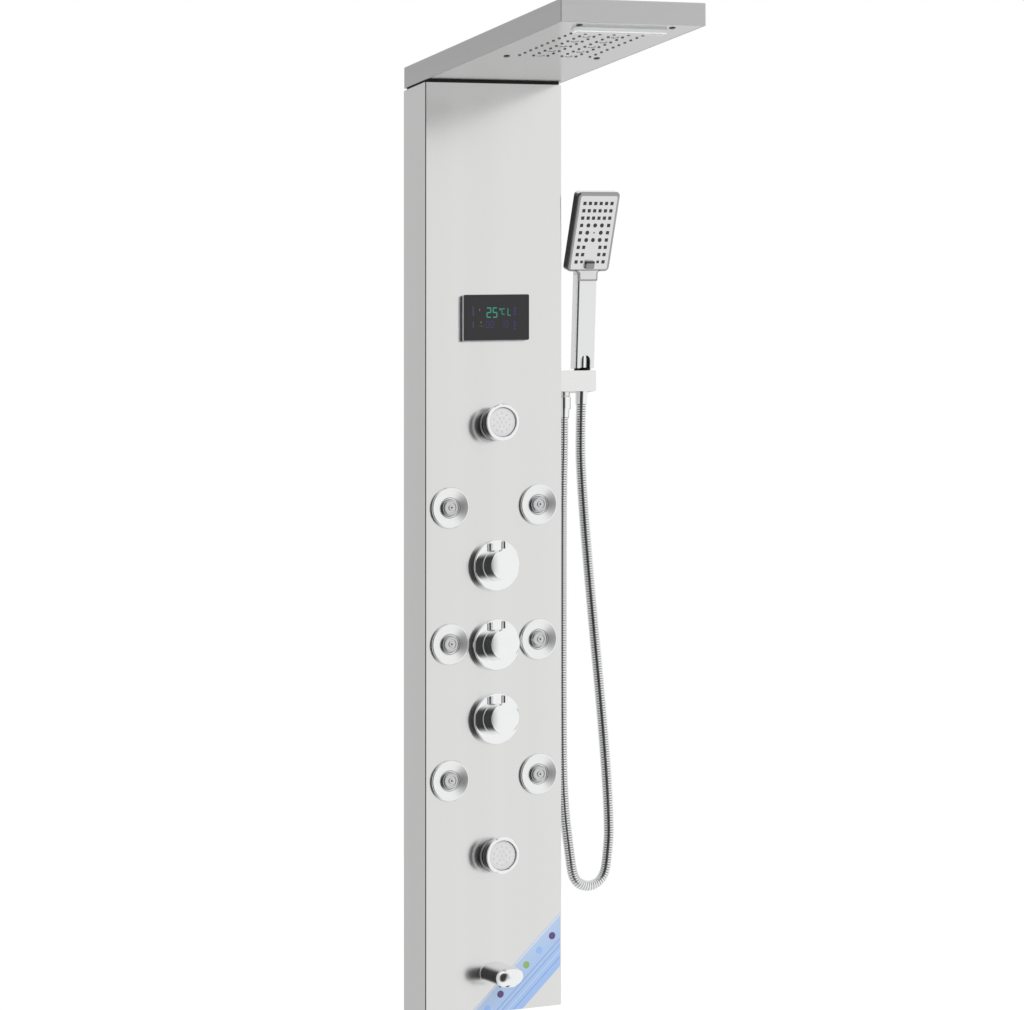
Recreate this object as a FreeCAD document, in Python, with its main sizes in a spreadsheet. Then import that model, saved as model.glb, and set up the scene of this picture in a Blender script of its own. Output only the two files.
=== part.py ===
"""Shower panel column: a folded stainless casing on the wall with a flat rain head on top, three valves,
six body jets, two swivel sprays, a temperature display, a tub spout and a hand shower on a metal hose.

Millimetres and degrees. X runs to the right as seen by the user, Y into the wall and Z up. The origin is on
the wall plane (Y = 0), in the middle of the column and at its lower edge. The front of the column faces -Y.
"""

import FreeCAD, Part
import math
import os
import re

import Sketcher
from FreeCAD import Placement, Rotation, Vector

SIZES = (
    # column casing, one folded sheet
    ("column_width", 200, "width across the front"),
    ("column_depth", 65, "from the wall to the front face"),
    ("column_height", 1219, "from the lower edge to the top plate"),
    ("sheet_thick", 1.5, "stainless sheet of the casing and the head"),
    ("fold_radius", 2.5, "outside radius of the folds"),
    ("return_width", 15, "rear returns that lie on the wall"),
    # rain head
    ("shadow_gap", 3, "rubber pad between the casing and the head"),
    ("gasket_inset", 3, "pad set back from the casing's faces"),
    ("head_reach", 450, "from the wall to the head's front"),
    ("head_thick", 28, "head cover, top to bottom"),
    ("head_edge", 1.5, "rounding of the head cover's edges"),
    ("plate_gap", 0.4, "face plate to head cover, all round"),
    ("screw_across", 128, "face plate screws, left to right"),
    ("screw_rear", 218, "rear screws, behind the head's front"),
    ("screw_front", 20, "front screws, behind the head's front"),
    ("screw_shank", 4, "screw thread"),
    ("screw_head", 8, "screw head"),
    ("screw_length", 9, "screw under its head"),
    ("boss_size", 9, "screw bosses in the head cover"),
    # rain field
    ("rain_columns", 6, "nozzles across"),
    ("rain_pitch", 20, "nozzle spacing across"),
    ("rain_rows", 10, "nozzles front to back"),
    ("rain_step", 15.6, "nozzle spacing front to back"),
    ("rain_last", 69.6, "last nozzle row, behind the head's front"),
    ("rain_tip", 3.4, "nozzle tip, across its flats"),
    ("rain_proud", 1, "nozzle tips below the face plate"),
    ("rain_margin", 7, "nozzle mat beyond the outer nozzles"),
    ("mat_thick", 2, "silicone nozzle mat"),
    ("rain_chamber_tall", 18, "rain water chamber"),
    ("chamber_wall", 2, "walls of both water chambers"),
    ("light_across", 40, "lamp lenses, left to right"),
    ("light_rows", 5, "lamp lenses front to back"),
    ("light_step", 31, "lens spacing front to back"),
    ("light_size", 10, "lens seen from below"),
    ("light_collar", 12, "collar that holds a lens above the plate"),
    ("light_proud", 0.4, "lens below the face plate"),
    # waterfall outlet
    ("fall_width", 128, "waterfall slot across"),
    ("fall_deep", 8, "waterfall slot front to back"),
    ("fall_inset", 41, "slot centre, behind the head's front"),
    ("lip_wall", 2, "wall of the slot's lip"),
    ("lip_proud", 1, "lip below the face plate"),
    ("lip_flange", 3, "lip's flange beyond the slot"),
    ("fall_chamber_wide", 176, "waterfall chamber across"),
    ("fall_chamber_deep", 26, "waterfall chamber front to back"),
    # temperature display
    ("display_wide", 95, "display bezel across"),
    ("display_tall", 60, "display bezel, bottom to top"),
    ("display_level", 911, "display centre"),
    ("display_proud", 8, "bezel in front of the casing"),
    ("bezel_wall", 2, "bezel round the glass"),
    ("bezel_corner", 2, "bezel corners"),
    ("glass_thick", 2, "display glass"),
    ("module_wide", 80, "display module across"),
    ("module_tall", 46, "display module, bottom to top"),
    ("module_deep", 22, "display module behind the glass"),
    # clearances
    ("slip", 0.3, "round pieces that move in each other"),
    ("fit", 0.2, "pieces that are fixed in each other"),
    # valves
    ("valve_high", 586, "hot valve"),
    ("valve_middle", 482, "diverter"),
    ("valve_low", 385, "cold valve"),
    ("manifold_wide", 44, "brass manifold across"),
    ("manifold_deep", 30, "brass manifold front to back"),
    ("manifold_back", 15, "brass manifold, from the wall"),
    ("manifold_margin", 20, "manifold beyond the outer valves"),
    ("seat_size", 34, "valve seats behind the casing"),
    ("nose_size", 24, "valve noses through the casing"),
    ("flange_size", 67, "wall flange of a valve"),
    ("flange_proud", 10, "wall flange in front of the casing"),
    ("flange_wall", 1.5, "wall flange, pressed shell"),
    ("knob_size", 41, "valve knob"),
    ("knob_proud", 38, "knob's crown in front of the casing"),
    ("knob_gap", 0.5, "knob to wall flange"),
    ("crown_rise", 1.6, "domed crown of a knob"),
    ("spindle_size", 8, "valve spindle"),
    ("spindle_seat", 14, "spindle inside the nose"),
    ("spindle_grip", 14, "spindle inside the knob"),
    ("pin_size", 8, "radial grip pin"),
    ("pin_tall", 10, "grip pin above the knob"),
    ("pin_seat", 6, "grip pin inside the knob"),
    ("pin_front", 31, "grip pin's axis in front of the casing"),
    ("ring_nut_across", 36, "nuts on the valve noses, across flats"),
    ("nut_thick", 5, "all lock nuts"),
    ("inlet_reach", 45, "hot and cold inlets from the middle"),
    ("inlet_arm", 17, "arms to the inlets"),
    ("inlet_size", 20.96, "G1/2 male thread"),
    ("inlet_thread", 14, "thread on each inlet"),
    ("inlet_back", 6, "inlet ends, from the wall"),
    ("inlet_neck", 18.6, "relief behind each thread"),
    ("inlet_bore", 13, "bore of the inlets"),
    # body jets
    ("jet_across", 129, "jets, left to right"),
    ("jet_high", 664, "upper jets"),
    ("jet_middle", 486, "middle jets"),
    ("jet_low", 308, "lower jets"),
    ("dish_size", 54, "dish of a jet"),
    ("dish_thick", 6, "dish at its rim"),
    ("recess_size", 26, "recess in the dish"),
    ("recess_level", 5, "dish round its recess"),
    ("recess_floor", 3.6, "floor of the recess, in front of the casing"),
    ("dish_hollow", 16, "radius of the dish's hollow face"),
    ("tail_size", 26, "threaded tails of jets and sprays"),
    ("tail_length", 25, "tails behind the casing's face"),
    ("tail_nut_across", 34, "nuts on those tails, across flats"),
    ("water_bore", 8, "water way in the tails"),
    ("jet_ball", 22, "ball of a jet"),
    ("jet_rear", 6.5, "ball's flat rear, from its centre"),
    ("jet_face", 17, "face of the ball"),
    ("jet_core", 8, "raised core in the face"),
    ("jet_hole", 2.4, "spray hole"),
    ("jet_groove", 1.3, "depth of the groove round the core"),
    # swivel sprays
    ("spray_high", 772, "upper swivel spray"),
    ("spray_low", 206, "lower swivel spray"),
    ("base_size", 44, "base of a swivel spray"),
    ("base_thick", 5, "base in front of the casing"),
    ("spray_ball", 16, "ball of a swivel spray"),
    ("spray_centre", 1, "ball centre behind the casing's face"),
    ("seat_wall", 1.7, "plastic seat round the ball"),
    ("seat_front", 3, "seat in front of the ball's centre"),
    ("seat_rear", 7, "seat behind the ball's centre"),
    ("neck_size", 9, "neck between ball and head"),
    ("cup_size", 48, "head of a swivel spray"),
    ("cup_back", 12, "back of the head, from the casing"),
    ("cup_front", 28, "front of the head, from the casing"),
    ("cup_round", 6, "rounded back edge of the head"),
    ("rim_width", 4.5, "rim round the nozzle face"),
    ("face_depth", 3, "nozzle face below the rim"),
    ("face_thick", 5, "nozzle face"),
    ("bump_size", 2.2, "nozzle bumps, across flats"),
    ("bump_proud", 1, "nozzle bumps above the face"),
    ("bump_ring", 6, "spacing of the rings of bumps"),
    # tub spout
    ("spout_level", 55, "spout axis"),
    ("spout_wide", 31, "oval tube across"),
    ("spout_tall", 25, "oval tube, bottom to top"),
    ("spout_length", 56, "spout in front of the casing"),
    ("spout_round", 7, "rounding of the spout's end"),
    ("spout_slope", 9, "spout's top runs this far past its bottom"),
    ("spout_bore", 15, "bore of the spout"),
    ("outlet_size", 23, "collar under the spout's end"),
    ("outlet_drop", 5, "collar below the tube"),
    ("outlet_reach", 40, "collar's axis in front of the casing"),
    ("aerator_size", 19, "aerator in the collar"),
    ("aerator_thick", 6, "aerator"),
    ("pipe_tail", 20.8, "threaded tails of spout and holder"),
    ("pipe_tail_length", 12, "those tails behind the sheet's face"),
    ("pipe_nut_across", 27, "nuts on those tails, across flats"),
    # holder and hand shower outlet
    ("holder_level", 828, "holder block centre"),
    ("holder_reach", 34, "holder block centre, from the wall"),
    ("holder_long", 61, "holder block out of the casing's side"),
    ("holder_thick", 28, "square section of the block"),
    ("holder_edge", 2, "rounding of the block"),
    ("cradle_out", 46.5, "hand shower's axis, from the casing's side"),
    ("outlet_out", 18, "hose outlet, from the casing's side"),
    ("outlet_spigot", 15, "hose outlet's spigot"),
    ("spigot_drop", 14, "spigot below the block"),
    ("nut_size", 20, "hose nut"),
    ("nut_drop", 6, "hose nut below the block"),
    ("nut_long", 16, "hose nut"),
    ("ferrule_long", 12, "tapered ferrule on the hose"),
    ("cone_low", 16, "hose cone where it enters the block"),
    ("cone_high", 19, "hose cone at the block's top"),
    ("cone_tail", 16, "cone's ferrule below the block"),
    ("collar_size", 22, "collar between block and handle"),
    ("collar_gap", 0.9, "that collar above the block, at its axis"),
    ("collar_thick", 2.6, "that collar"),
    ("spigot_size", 12.4, "swivel spigot in the handle"),
    ("spigot_long", 28, "swivel spigot above the block"),
    ("lean", 3.5, "hand shower leans forward in its holder"),
    # hand shower
    ("handle_wide", 30, "handle across"),
    ("handle_deep", 16.6, "handle front to back"),
    ("handle_long", 132, "handle, foot to head"),
    ("handle_edge", 4, "rounding of the handle"),
    ("notch_wide", 15, "notch in the handle's foot"),
    ("notch_tall", 17, "notch in the handle's foot"),
    ("head_tilt", 15.5, "spray head tilts forward from the handle"),
    ("spray_wide", 63.2, "spray head across"),
    ("spray_long", 106.5, "spray head along"),
    ("spray_thick", 16, "spray head, back to face"),
    ("spray_corner", 6, "corners of the spray head"),
    ("spray_bevel", 2.2, "bevel round the face"),
    ("spray_back", 3.5, "rounding of the head's back"),
    ("tab_wide", 29, "tab from the head over the handle"),
    ("tab_long", 12, "tab from the head over the handle"),
    ("tab_round", 4.5, "hollow corners beside the tab"),
    ("rim_inset", 2.6, "face plate inside the head's outline"),
    ("face_plate_thick", 2, "face plate"),
    ("spray_mat", 1.6, "silicone mat behind the plate"),
    ("dot_pitch", 8.1, "nozzle spacing across"),
    ("dot_step", 9.8, "nozzle spacing along"),
    ("dot_size", 3.6, "small square nozzles"),
    ("big_dot", 5, "larger nozzles round the middle"),
    ("dot_proud", 0.5, "nozzles above the face plate"),
    ("face_centre", 52.3, "middle of the nozzle field above the head's foot"),
    ("lever_wide", 11.8, "selector lever across"),
    ("lever_tall", 10, "selector lever along"),
    ("lever_proud", 4, "selector lever above the plate"),
    ("lever_neck", 5, "selector's neck in its slot"),
    ("lever_drop", 43, "selector below the field's middle"),
    ("lever_swing", 6, "selector to each side, in degrees"),
    # pipes behind the casing
    ("tube_size", 12, "supply tubes"),
    ("tube_back", 34, "supply tubes, from the wall"),
    ("stub_size", 16, "stubs on the supply tubes"),
    ("riser_out", 78, "risers, from the middle"),
    ("riser_back", 22, "risers, from the wall"),
    ("riser_port", 13, "riser ports on the manifold, from the middle"),
    ("riser_turn", 700, "level at which the risers turn outwards"),
    ("riser_level", 14, "risers above the head's underside"),
    ("bend_radius", 12, "elbows of the tubes"),
    ("feed_level", 435, "feeds of the jets' tubes"),
    ("outlet_tube", 10, "tube to the hose outlet"),
    ("outlet_feed", 545, "port of that tube"),
    ("outlet_rise", 45, "that tube, from the middle"),
    ("generator_size", 28, "turbine generator"),
    ("generator_long", 50, "turbine generator"),
    ("generator_level", 745, "turbine generator's centre"),
    # wall brackets
    ("bracket_thick", 2, "bracket steel"),
    ("bracket_wide", 120, "upper bracket"),
    ("bracket_leg", 30, "legs on the wall"),
    ("bracket_ledge", 22, "ledge under the top plate"),
    ("bracket_low", 125, "lower bracket's centre"),
    ("bracket_screw", 6.5, "wall screw holes"),
    ("bracket_pitch", 80, "wall screw holes, left to right"),
    # hose
    ("hose_size", 14, "metal hose over its ribs"),
    ("hose_bore", 8, "bore of the hose"),
    ("rib_depth", 0.8, "grooves between the ribs"),
    ("hose_ribs", 48, "ribs along the hose"),
)

doc = FreeCAD.newDocument("ShowerPanelColumn")
sheet = doc.addObject("Spreadsheet::Sheet", "Sizes")
for row, (alias, size, meaning) in enumerate(SIZES, 1):
    sheet.set("A%d" % row, meaning)
    sheet.set("B%d" % row, str(size))
    sheet.setAlias("B%d" % row, alias)
doc.recompute()

ALIAS = re.compile(r"\b(%s)\b" % "|".join(alias for alias, size, meaning in SIZES))
FORWARD = Rotation(Vector(1, 0, 0), 90)
DOWN = Rotation(Vector(1, 0, 0), 180)
UP = Rotation()
nodes = {}


def bound(text):
    """An expression in the sheet's words, as an object outside the sheet has to write it."""
    return ALIAS.sub(r"Sizes.\1", text)


def value(text):
    """What an expression in the sheet's words comes to."""
    return float(sheet.evalExpression(text))


def bind(thing, **sizes):
    """Ties properties of an object to expressions."""
    for name, text in sizes.items():
        thing.setExpression(name, bound(text))


def place(thing, x="0", y="0", z="0", turn=UP, angle=None):
    """Ties an object's place to expressions. An angle turns it about X."""
    thing.Placement = Placement(Vector(value(x), value(y), value(z)), turn)
    for axis, text in zip("xyz", (x, y, z)):
        thing.setExpression("Placement.Base." + axis, bound(text))
    if angle:
        thing.Placement.Rotation = Rotation(Vector(1, 0, 0), value(angle))
        thing.setExpression("Placement.Rotation.Angle", bound(angle))
    return thing


def node(label, thing):
    """Gives a finished piece its name."""
    thing.Label = label
    nodes[label] = thing
    return thing


def body(name):
    return doc.addObject("PartDesign::Body", name)


def sketch(owner, plane, shift=("0", "0", "0"), axis=Vector(0, 0, 1), angle="0"):
    """A sketch on one of the body's origin planes, shifted and turned in that plane's own frame."""
    drawn = owner.newObject("Sketcher::SketchObject", owner.Name + "_sketch")
    support = [part for part in owner.Origin.OriginFeatures if part.Role == plane][0]
    drawn.AttachmentSupport = (support, [""])
    drawn.MapMode = "FlatFace"
    drawn.AttachmentOffset = Placement(Vector(*[value(text) for text in shift]), Rotation(axis, value(angle)))
    for name, text in zip("xyz", shift):
        drawn.setExpression("AttachmentOffset.Base." + name, bound(text))
    if angle != "0":
        drawn.setExpression("AttachmentOffset.Rotation.Angle", bound(angle))
    return drawn


def bulged(start, end, radius):
    """Arc from start to end. A positive radius bulges to the right of the way, a negative one to the left."""
    chord = end - start
    side = Vector(chord.y, -chord.x, 0) / chord.Length * math.copysign(1, radius)
    sag = abs(radius) - math.sqrt(radius * radius - chord.Length * chord.Length / 4)
    return Part.Arc(start, (start + end) / 2 + side * sag, end)


def outline(drawn, corners):
    """A closed outline. Each corner is (x, y) or (x, y, radius): the radius is of the arc that ends there."""
    points = [Vector(value(corner[0]), value(corner[1]), 0) for corner in corners]
    first = drawn.GeometryCount
    edges = []
    ends = []
    rules = []
    for index, start in enumerate(points):
        after = (index + 1) % len(points)
        radius = corners[after][2] if len(corners[after]) > 2 else None
        if radius:
            edges.append(bulged(start, points[after], value(radius)))
            rules.append((Sketcher.Constraint("Radius", first + index, abs(value(radius))), "abs(%s)" % radius))
        else:
            edges.append(Part.LineSegment(start, points[after]))
    drawn.addGeometry(edges)
    for index, start in enumerate(points):
        forward = (drawn.getPoint(first + index, 1) - start).Length < 1e-6
        ends.append((1, 2) if forward else (2, 1))
    for index, (start, end) in enumerate(ends):
        after = (index + 1) % len(ends)
        joined = Sketcher.Constraint("Coincident", first + index, end, first + after, ends[after][0])
        rules.append((joined, None))
        for kind, text in zip(("DistanceX", "DistanceY"), corners[index]):
            rules.append((Sketcher.Constraint(kind, -1, 1, first + index, start, value(text)), text))
    fixed = drawn.addConstraint([rule for rule, text in rules])
    for number, (rule, text) in zip(fixed, rules):
        if text:
            drawn.setExpression("Constraints[%d]" % number, bound(text))
    return drawn


def circle(drawn, x, y, radius):
    """A circle held by its centre and radius."""
    centre = Vector(value(x), value(y), 0)
    edge = drawn.addGeometry(Part.Circle(centre, Vector(0, 0, 1), value(radius)))
    rules = (
        (Sketcher.Constraint("Radius", edge, value(radius)), radius),
        (Sketcher.Constraint("DistanceX", -1, 1, edge, 3, value(x)), x),
        (Sketcher.Constraint("DistanceY", -1, 1, edge, 3, value(y)), y),
    )
    for rule, text in rules:
        fixed = drawn.addConstraint(rule)
        drawn.setExpression("Constraints[%d]" % fixed, bound(text))
    return drawn


def box(drawn, x, y, wide, tall):
    """A rectangle round the point (x, y)."""
    left = "(%s) - (%s)/2" % (x, wide)
    right = "(%s) + (%s)/2" % (x, wide)
    low = "(%s) - (%s)/2" % (y, tall)
    high = "(%s) + (%s)/2" % (y, tall)
    return outline(drawn, ((left, low), (right, low), (right, high), (left, high)))


def hexagon(drawn, x, y, across):
    """A hexagon round (x, y), given across its flats."""
    corners = []
    for turn in range(6):
        cosine, sine = math.cos(math.radians(60 * turn)), math.sin(math.radians(60 * turn))
        reach = "(%s)/2/%.6f" % (across, math.cos(math.pi / 6))
        corners.append(("(%s) + %s*(%.6f)" % (x, reach, cosine), "(%s) + %s*(%.6f)" % (y, reach, sine)))
    return outline(drawn, corners)


def pad(owner, drawn, length, back=False):
    """Adds material along the sketch's normal, or against it."""
    made = owner.newObject("PartDesign::Pad", owner.Name + "_pad")
    made.Profile = drawn
    made.Reversed = back
    bind(made, Length=length)
    return made


def pocket(owner, drawn, length=None, forward=False):
    """Cuts against the sketch's normal, or along it. Without a length it cuts through everything."""
    made = owner.newObject("PartDesign::Pocket", owner.Name + "_pocket")
    made.Profile = drawn
    made.Reversed = forward
    if length:
        bind(made, Length=length)
    else:
        made.Type = "ThroughAll"
    return made


def revolved(owner, drawn, kind="PartDesign::Revolution"):
    """Turns the sketch once round its own upright axis."""
    made = owner.newObject(kind, owner.Name + "_turned")
    made.Profile = drawn
    made.ReferenceAxis = (drawn, ["V_Axis"])
    made.Angle = 360
    return made


def rounded(owner, base, radius, wanted, kind="PartDesign::Fillet"):
    """Rounds or bevels the edges of a feature whose middle and direction the test wants."""
    doc.recompute()
    names = []
    for number, edge in enumerate(base.Shape.Edges, 1):
        middle = edge.valueAt((edge.FirstParameter + edge.LastParameter) / 2)
        along = edge.tangentAt((edge.FirstParameter + edge.LastParameter) / 2)
        if wanted(middle, along):
            names.append("Edge%d" % number)
    made = owner.newObject(kind, owner.Name + "_edges")
    made.Base = (base, names)
    if kind.endswith("Chamfer"):
        bind(made, Size=radius)
    else:
        bind(made, Radius=radius)
    return made


def grid(owner, feature, drawn, columns, pitch, rows, step):
    """Repeats a feature along the sketch's two axes."""
    across = owner.newObject("PartDesign::LinearPattern", owner.Name + "_across")
    across.Direction = (drawn, ["H_Axis"])
    bind(across, Length="%s*(%s - 1)" % (pitch, columns), Occurrences=columns)
    along = owner.newObject("PartDesign::LinearPattern", owner.Name + "_along")
    along.Direction = (drawn, ["V_Axis"])
    bind(along, Length="%s*(%s - 1)" % (step, rows), Occurrences=rows)
    made = owner.newObject("PartDesign::MultiTransform", owner.Name + "_grid")
    made.Originals = [feature]
    made.Transformations = [across, along]
    owner.Tip = made
    return made


def turned(name, corners):
    """A body turned about its own Z from an outline of (radius, height) corners."""
    made = body(name)
    revolved(made, outline(sketch(made, "XZ_Plane"), corners))
    return made


def copies(label, source, spots):
    """One node with a separate solid of the source body at each (x, y, z, turn)."""
    links = []
    for x, y, z, turn in spots:
        link = doc.addObject("App::Link", source.Name + "_copy")
        link.LinkedObject = source
        links.append(place(link, x, y, z, turn))
    group = doc.addObject("Part::Compound", label)
    group.Links = links
    return node(label, group)


def half(size):
    return "(%s/2)" % size


def dome(radius, rise):
    """Radius of the arc that rises from a rim of this radius to a crown on the axis."""
    return "((%s)^2 + (%s)^2)/(2*(%s))" % (radius, rise, rise)


def on_ball(ball, height):
    """Radius of a ball at a height from its centre. The ball is given by its radius."""
    return "sqrt((%s)^2 - (%s)^2)" % (ball, height)


# ---- column casing: a U-shaped sheet with rear returns, a floor, a rear flange and a top plate ----------

FACE = "-column_depth"
WALLS = "column_width/2"
casing = body("casing")
section = (
    ("-" + WALLS, "0"),
    ("-" + WALLS, FACE),
    (WALLS, FACE),
    (WALLS, "0"),
    (WALLS + " - return_width", "0"),
    (WALLS + " - return_width", "-sheet_thick"),
    (WALLS + " - sheet_thick", "-sheet_thick"),
    (WALLS + " - sheet_thick", "sheet_thick - column_depth"),
    ("sheet_thick - " + WALLS, "sheet_thick - column_depth"),
    ("sheet_thick - " + WALLS, "-sheet_thick"),
    ("return_width - " + WALLS, "-sheet_thick"),
    ("return_width - " + WALLS, "0"),
)
pad(casing, outline(sketch(casing, "XY_Plane"), section), "column_height")
pad(casing, box(sketch(casing, "XY_Plane"), "0", "-column_depth/2", "column_width", "column_depth"), "sheet_thick")
rear = box(sketch(casing, "XY_Plane"), "0", "-sheet_thick/2", "column_width - return_width", "sheet_thick")
pad(casing, rear, "return_width")
top = sketch(casing, "XY_Plane", ("0", "0", "column_height - sheet_thick"))
box(top, "0", "-column_depth/2", "column_width", "column_depth")
for side in ("-", ""):
    circle(top, side + "riser_out", "-riser_back", "tube_size/2 + 1")
top_plate = pad(casing, top, "sheet_thick")
folds = rounded(
    casing,
    top_plate,
    "fold_radius",
    lambda middle, along: abs(along.z) > 0.9 and middle.y < value(FACE) + 0.1,
)
rounded(
    casing,
    folds,
    "fold_radius - sheet_thick",
    lambda middle, along: abs(along.z) > 0.9 and abs(middle.y - value("sheet_thick - column_depth")) < 0.1,
)
holes = sketch(casing, "XZ_Plane")
for level in ("valve_low", "valve_middle", "valve_high"):
    circle(holes, "0", level, "nose_size/2 + slip")
for level in ("jet_low", "jet_middle", "jet_high"):
    for side in ("-", ""):
        circle(holes, side + "jet_across/2", level, "tail_size/2 + slip")
for level in ("spray_low", "spray_high"):
    circle(holes, "0", level, "tail_size/2 + slip")
circle(holes, "0", "spout_level", "pipe_tail/2 + slip")
box(holes, "0", "display_level", "module_wide + 2*slip", "module_tall + 2*slip")
pocket(casing, holes, forward=True)
side_hole = circle(sketch(casing, "YZ_Plane"), "-holder_reach", "holder_level", "pipe_tail/2 + slip")
pocket(casing, side_hole, forward=True)
node("column_casing", casing)

# ---- rain head: cover, rubber pad under it and the plate that closes it from below ----------------------

HEAD = "(column_height + shadow_gap)"
PLATE = "(%s + sheet_thick)" % HEAD
cover = body("cover")
shell = sketch(cover, "XY_Plane", ("0", "0", HEAD))
block = pad(cover, box(shell, "0", "-head_reach/2", "column_width", "head_reach"), "head_thick")
block = rounded(
    cover,
    block,
    "head_edge",
    lambda middle, along: abs(along.z) > 0.9 or middle.z > value(HEAD + " + head_thick") - 0.1,
)
inside = sketch(cover, "XY_Plane", ("0", "0", HEAD))
box(inside, "0", "-head_reach/2", "column_width - 2*sheet_thick", "head_reach - 2*sheet_thick")
pocket(cover, inside, "head_thick - sheet_thick", forward=True)
SCREWS = [(side + "screw_across/2", reach + " - head_reach") for side in ("-", "") for reach in ("screw_rear", "screw_front")]
bosses = sketch(cover, "XY_Plane", ("0", "0", PLATE))
thread_holes = sketch(cover, "XY_Plane", ("0", "0", PLATE))
for x, y in SCREWS:
    circle(bosses, x, y, "boss_size/2")
    circle(thread_holes, x, y, "screw_shank/2 + fit/2")
pad(cover, bosses, "head_thick - 2*sheet_thick")
pocket(cover, thread_holes, "screw_length + 1", forward=True)
node("head_cover", cover)

gasket = body("gasket")
rubber = sketch(gasket, "XY_Plane", ("0", "0", "column_height"))
box(rubber, "0", "-column_depth/2", "column_width - 2*gasket_inset", "column_depth - 2*gasket_inset")
for side in ("-", ""):
    circle(rubber, side + "riser_out", "-riser_back", "tube_size/2 + slip")
pad(gasket, rubber, "shadow_gap")
node("head_gasket", gasket)

RAIN_LEFT = "-rain_pitch*(rain_columns - 1)/2"
RAIN_DEEP = "rain_step*(rain_rows - 1)"
RAIN_END = "(rain_last - head_reach)"
RAIN_FIRST = "(head_reach - rain_last - %s)" % RAIN_DEEP
FALL = "(fall_inset - head_reach)"
LIGHTS = [
    (side + "light_across/2", "-%s - %d*light_step" % (RAIN_FIRST, place_number))
    for side in ("-", "")
    for place_number in range(int(value("light_rows")))
]
plate = body("plate")
flat = sketch(plate, "XY_Plane", ("0", "0", HEAD))
PLATE_IN = "(2*sheet_thick + 2*plate_gap)"
box(flat, "0", "-head_reach/2", "column_width - " + PLATE_IN, "head_reach - " + PLATE_IN)
for side in ("-", ""):
    circle(flat, side + "riser_out", "-riser_back", "tube_size/2 + slip")
for x, y in LIGHTS:
    circle(flat, x, y, "light_size/2 + slip")
for x, y in SCREWS:
    circle(flat, x, y, "screw_shank/2 + fit")
box(flat, "0", FALL, "fall_width + 2*fit", "fall_deep + 2*fit")
pad(plate, flat, "sheet_thick")
tip_hole = hexagon(sketch(plate, "XY_Plane", ("0", "0", HEAD)), RAIN_LEFT, RAIN_END, "rain_tip + 2*slip")
grid(plate, pocket(plate, tip_hole, forward=True), tip_hole, "rain_columns", "rain_pitch", "rain_rows", "rain_step")
node("head_face_plate", plate)

# The silicone mat lies on the face plate and its tips reach down through the plate's holes.
mat = body("mat")
MAT_WIDE = "rain_pitch*(rain_columns - 1) + 2*rain_margin"
MAT_DEEP = RAIN_DEEP + " + 2*rain_margin"
MAT_MIDDLE = "rain_last - head_reach + (%s)/2" % RAIN_DEEP
silicone = sketch(mat, "XY_Plane", ("0", "0", PLATE))
box(silicone, "0", MAT_MIDDLE, MAT_WIDE, MAT_DEEP)
for x, y in LIGHTS:
    circle(silicone, x, y, "light_collar/2 + slip")
pad(mat, silicone, "mat_thick")
tip = hexagon(sketch(mat, "XY_Plane", ("0", "0", PLATE)), RAIN_LEFT, RAIN_END, "rain_tip")
tips = pad(mat, tip, "sheet_thick + rain_proud", back=True)
grid(mat, tips, tip, "rain_columns", "rain_pitch", "rain_rows", "rain_step")
node("rain_nozzles", mat)

chamber = body("chamber")
lid = sketch(chamber, "XY_Plane", ("0", "0", PLATE + " + mat_thick"))
pad(chamber, box(lid, "0", MAT_MIDDLE, MAT_WIDE, MAT_DEEP), "rain_chamber_tall")
hollow = sketch(chamber, "XY_Plane", ("0", "0", PLATE + " + mat_thick"))
box(hollow, "0", MAT_MIDDLE, MAT_WIDE + " - 2*chamber_wall", MAT_DEEP + " - 2*chamber_wall")
pocket(chamber, hollow, "rain_chamber_tall - chamber_wall", forward=True)
node("rain_chamber", chamber)

lens = turned(
    "lens",
    (
        ("0", "-sheet_thick - mat_thick"),
        ("light_collar/2", "-sheet_thick - mat_thick"),
        ("light_collar/2", "-sheet_thick"),
        ("light_size/2", "-sheet_thick"),
        ("light_size/2", "0"),
        ("0", "light_proud", dome(half("light_size"), "light_proud")),
    ),
)
copies("light_lenses", lens, [(x, y, HEAD, DOWN) for x, y in LIGHTS])

screw = turned(
    "screw",
    (
        ("0", "-screw_length"),
        ("screw_shank/2 - fit/2", "-screw_length"),
        ("screw_shank/2 - fit/2", "0"),
        ("screw_head/2", "0"),
        ("screw_head/2", "screw_head/10"),
        ("0", "screw_head/5", dome(half("screw_head"), "screw_head/10")),
    ),
)
copies("face_plate_screws", screw, [(x, y, HEAD, DOWN) for x, y in SCREWS])

lip = body("lip")
frame = sketch(lip, "XY_Plane", ("0", "0", HEAD + " - lip_proud"))
box(frame, "0", FALL, "fall_width", "fall_deep")
box(frame, "0", FALL, "fall_width - 2*lip_wall", "fall_deep - 2*lip_wall")
pad(lip, frame, "lip_proud + sheet_thick + mat_thick")
ledge = sketch(lip, "XY_Plane", ("0", "0", PLATE))
box(ledge, "0", FALL, "fall_width + 2*lip_flange", "fall_deep + 2*lip_flange")
box(ledge, "0", FALL, "fall_width - 2*lip_wall", "fall_deep - 2*lip_wall")
pad(lip, ledge, "mat_thick")
node("waterfall_lip", lip)

fall = body("fall")
FALL_TALL = "rain_chamber_tall"
fall_box = sketch(fall, "XY_Plane", ("0", "0", PLATE + " + mat_thick"))
pad(fall, box(fall_box, "0", FALL, "fall_chamber_wide", "fall_chamber_deep"), FALL_TALL)
fall_slot = sketch(fall, "XY_Plane", ("0", "0", PLATE + " + mat_thick"))
box(fall_slot, "0", FALL, "fall_width - 2*lip_wall", "fall_deep - 2*lip_wall")
pocket(fall, fall_slot, FALL_TALL + " - chamber_wall", forward=True)
node("waterfall_chamber", fall)

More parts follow.
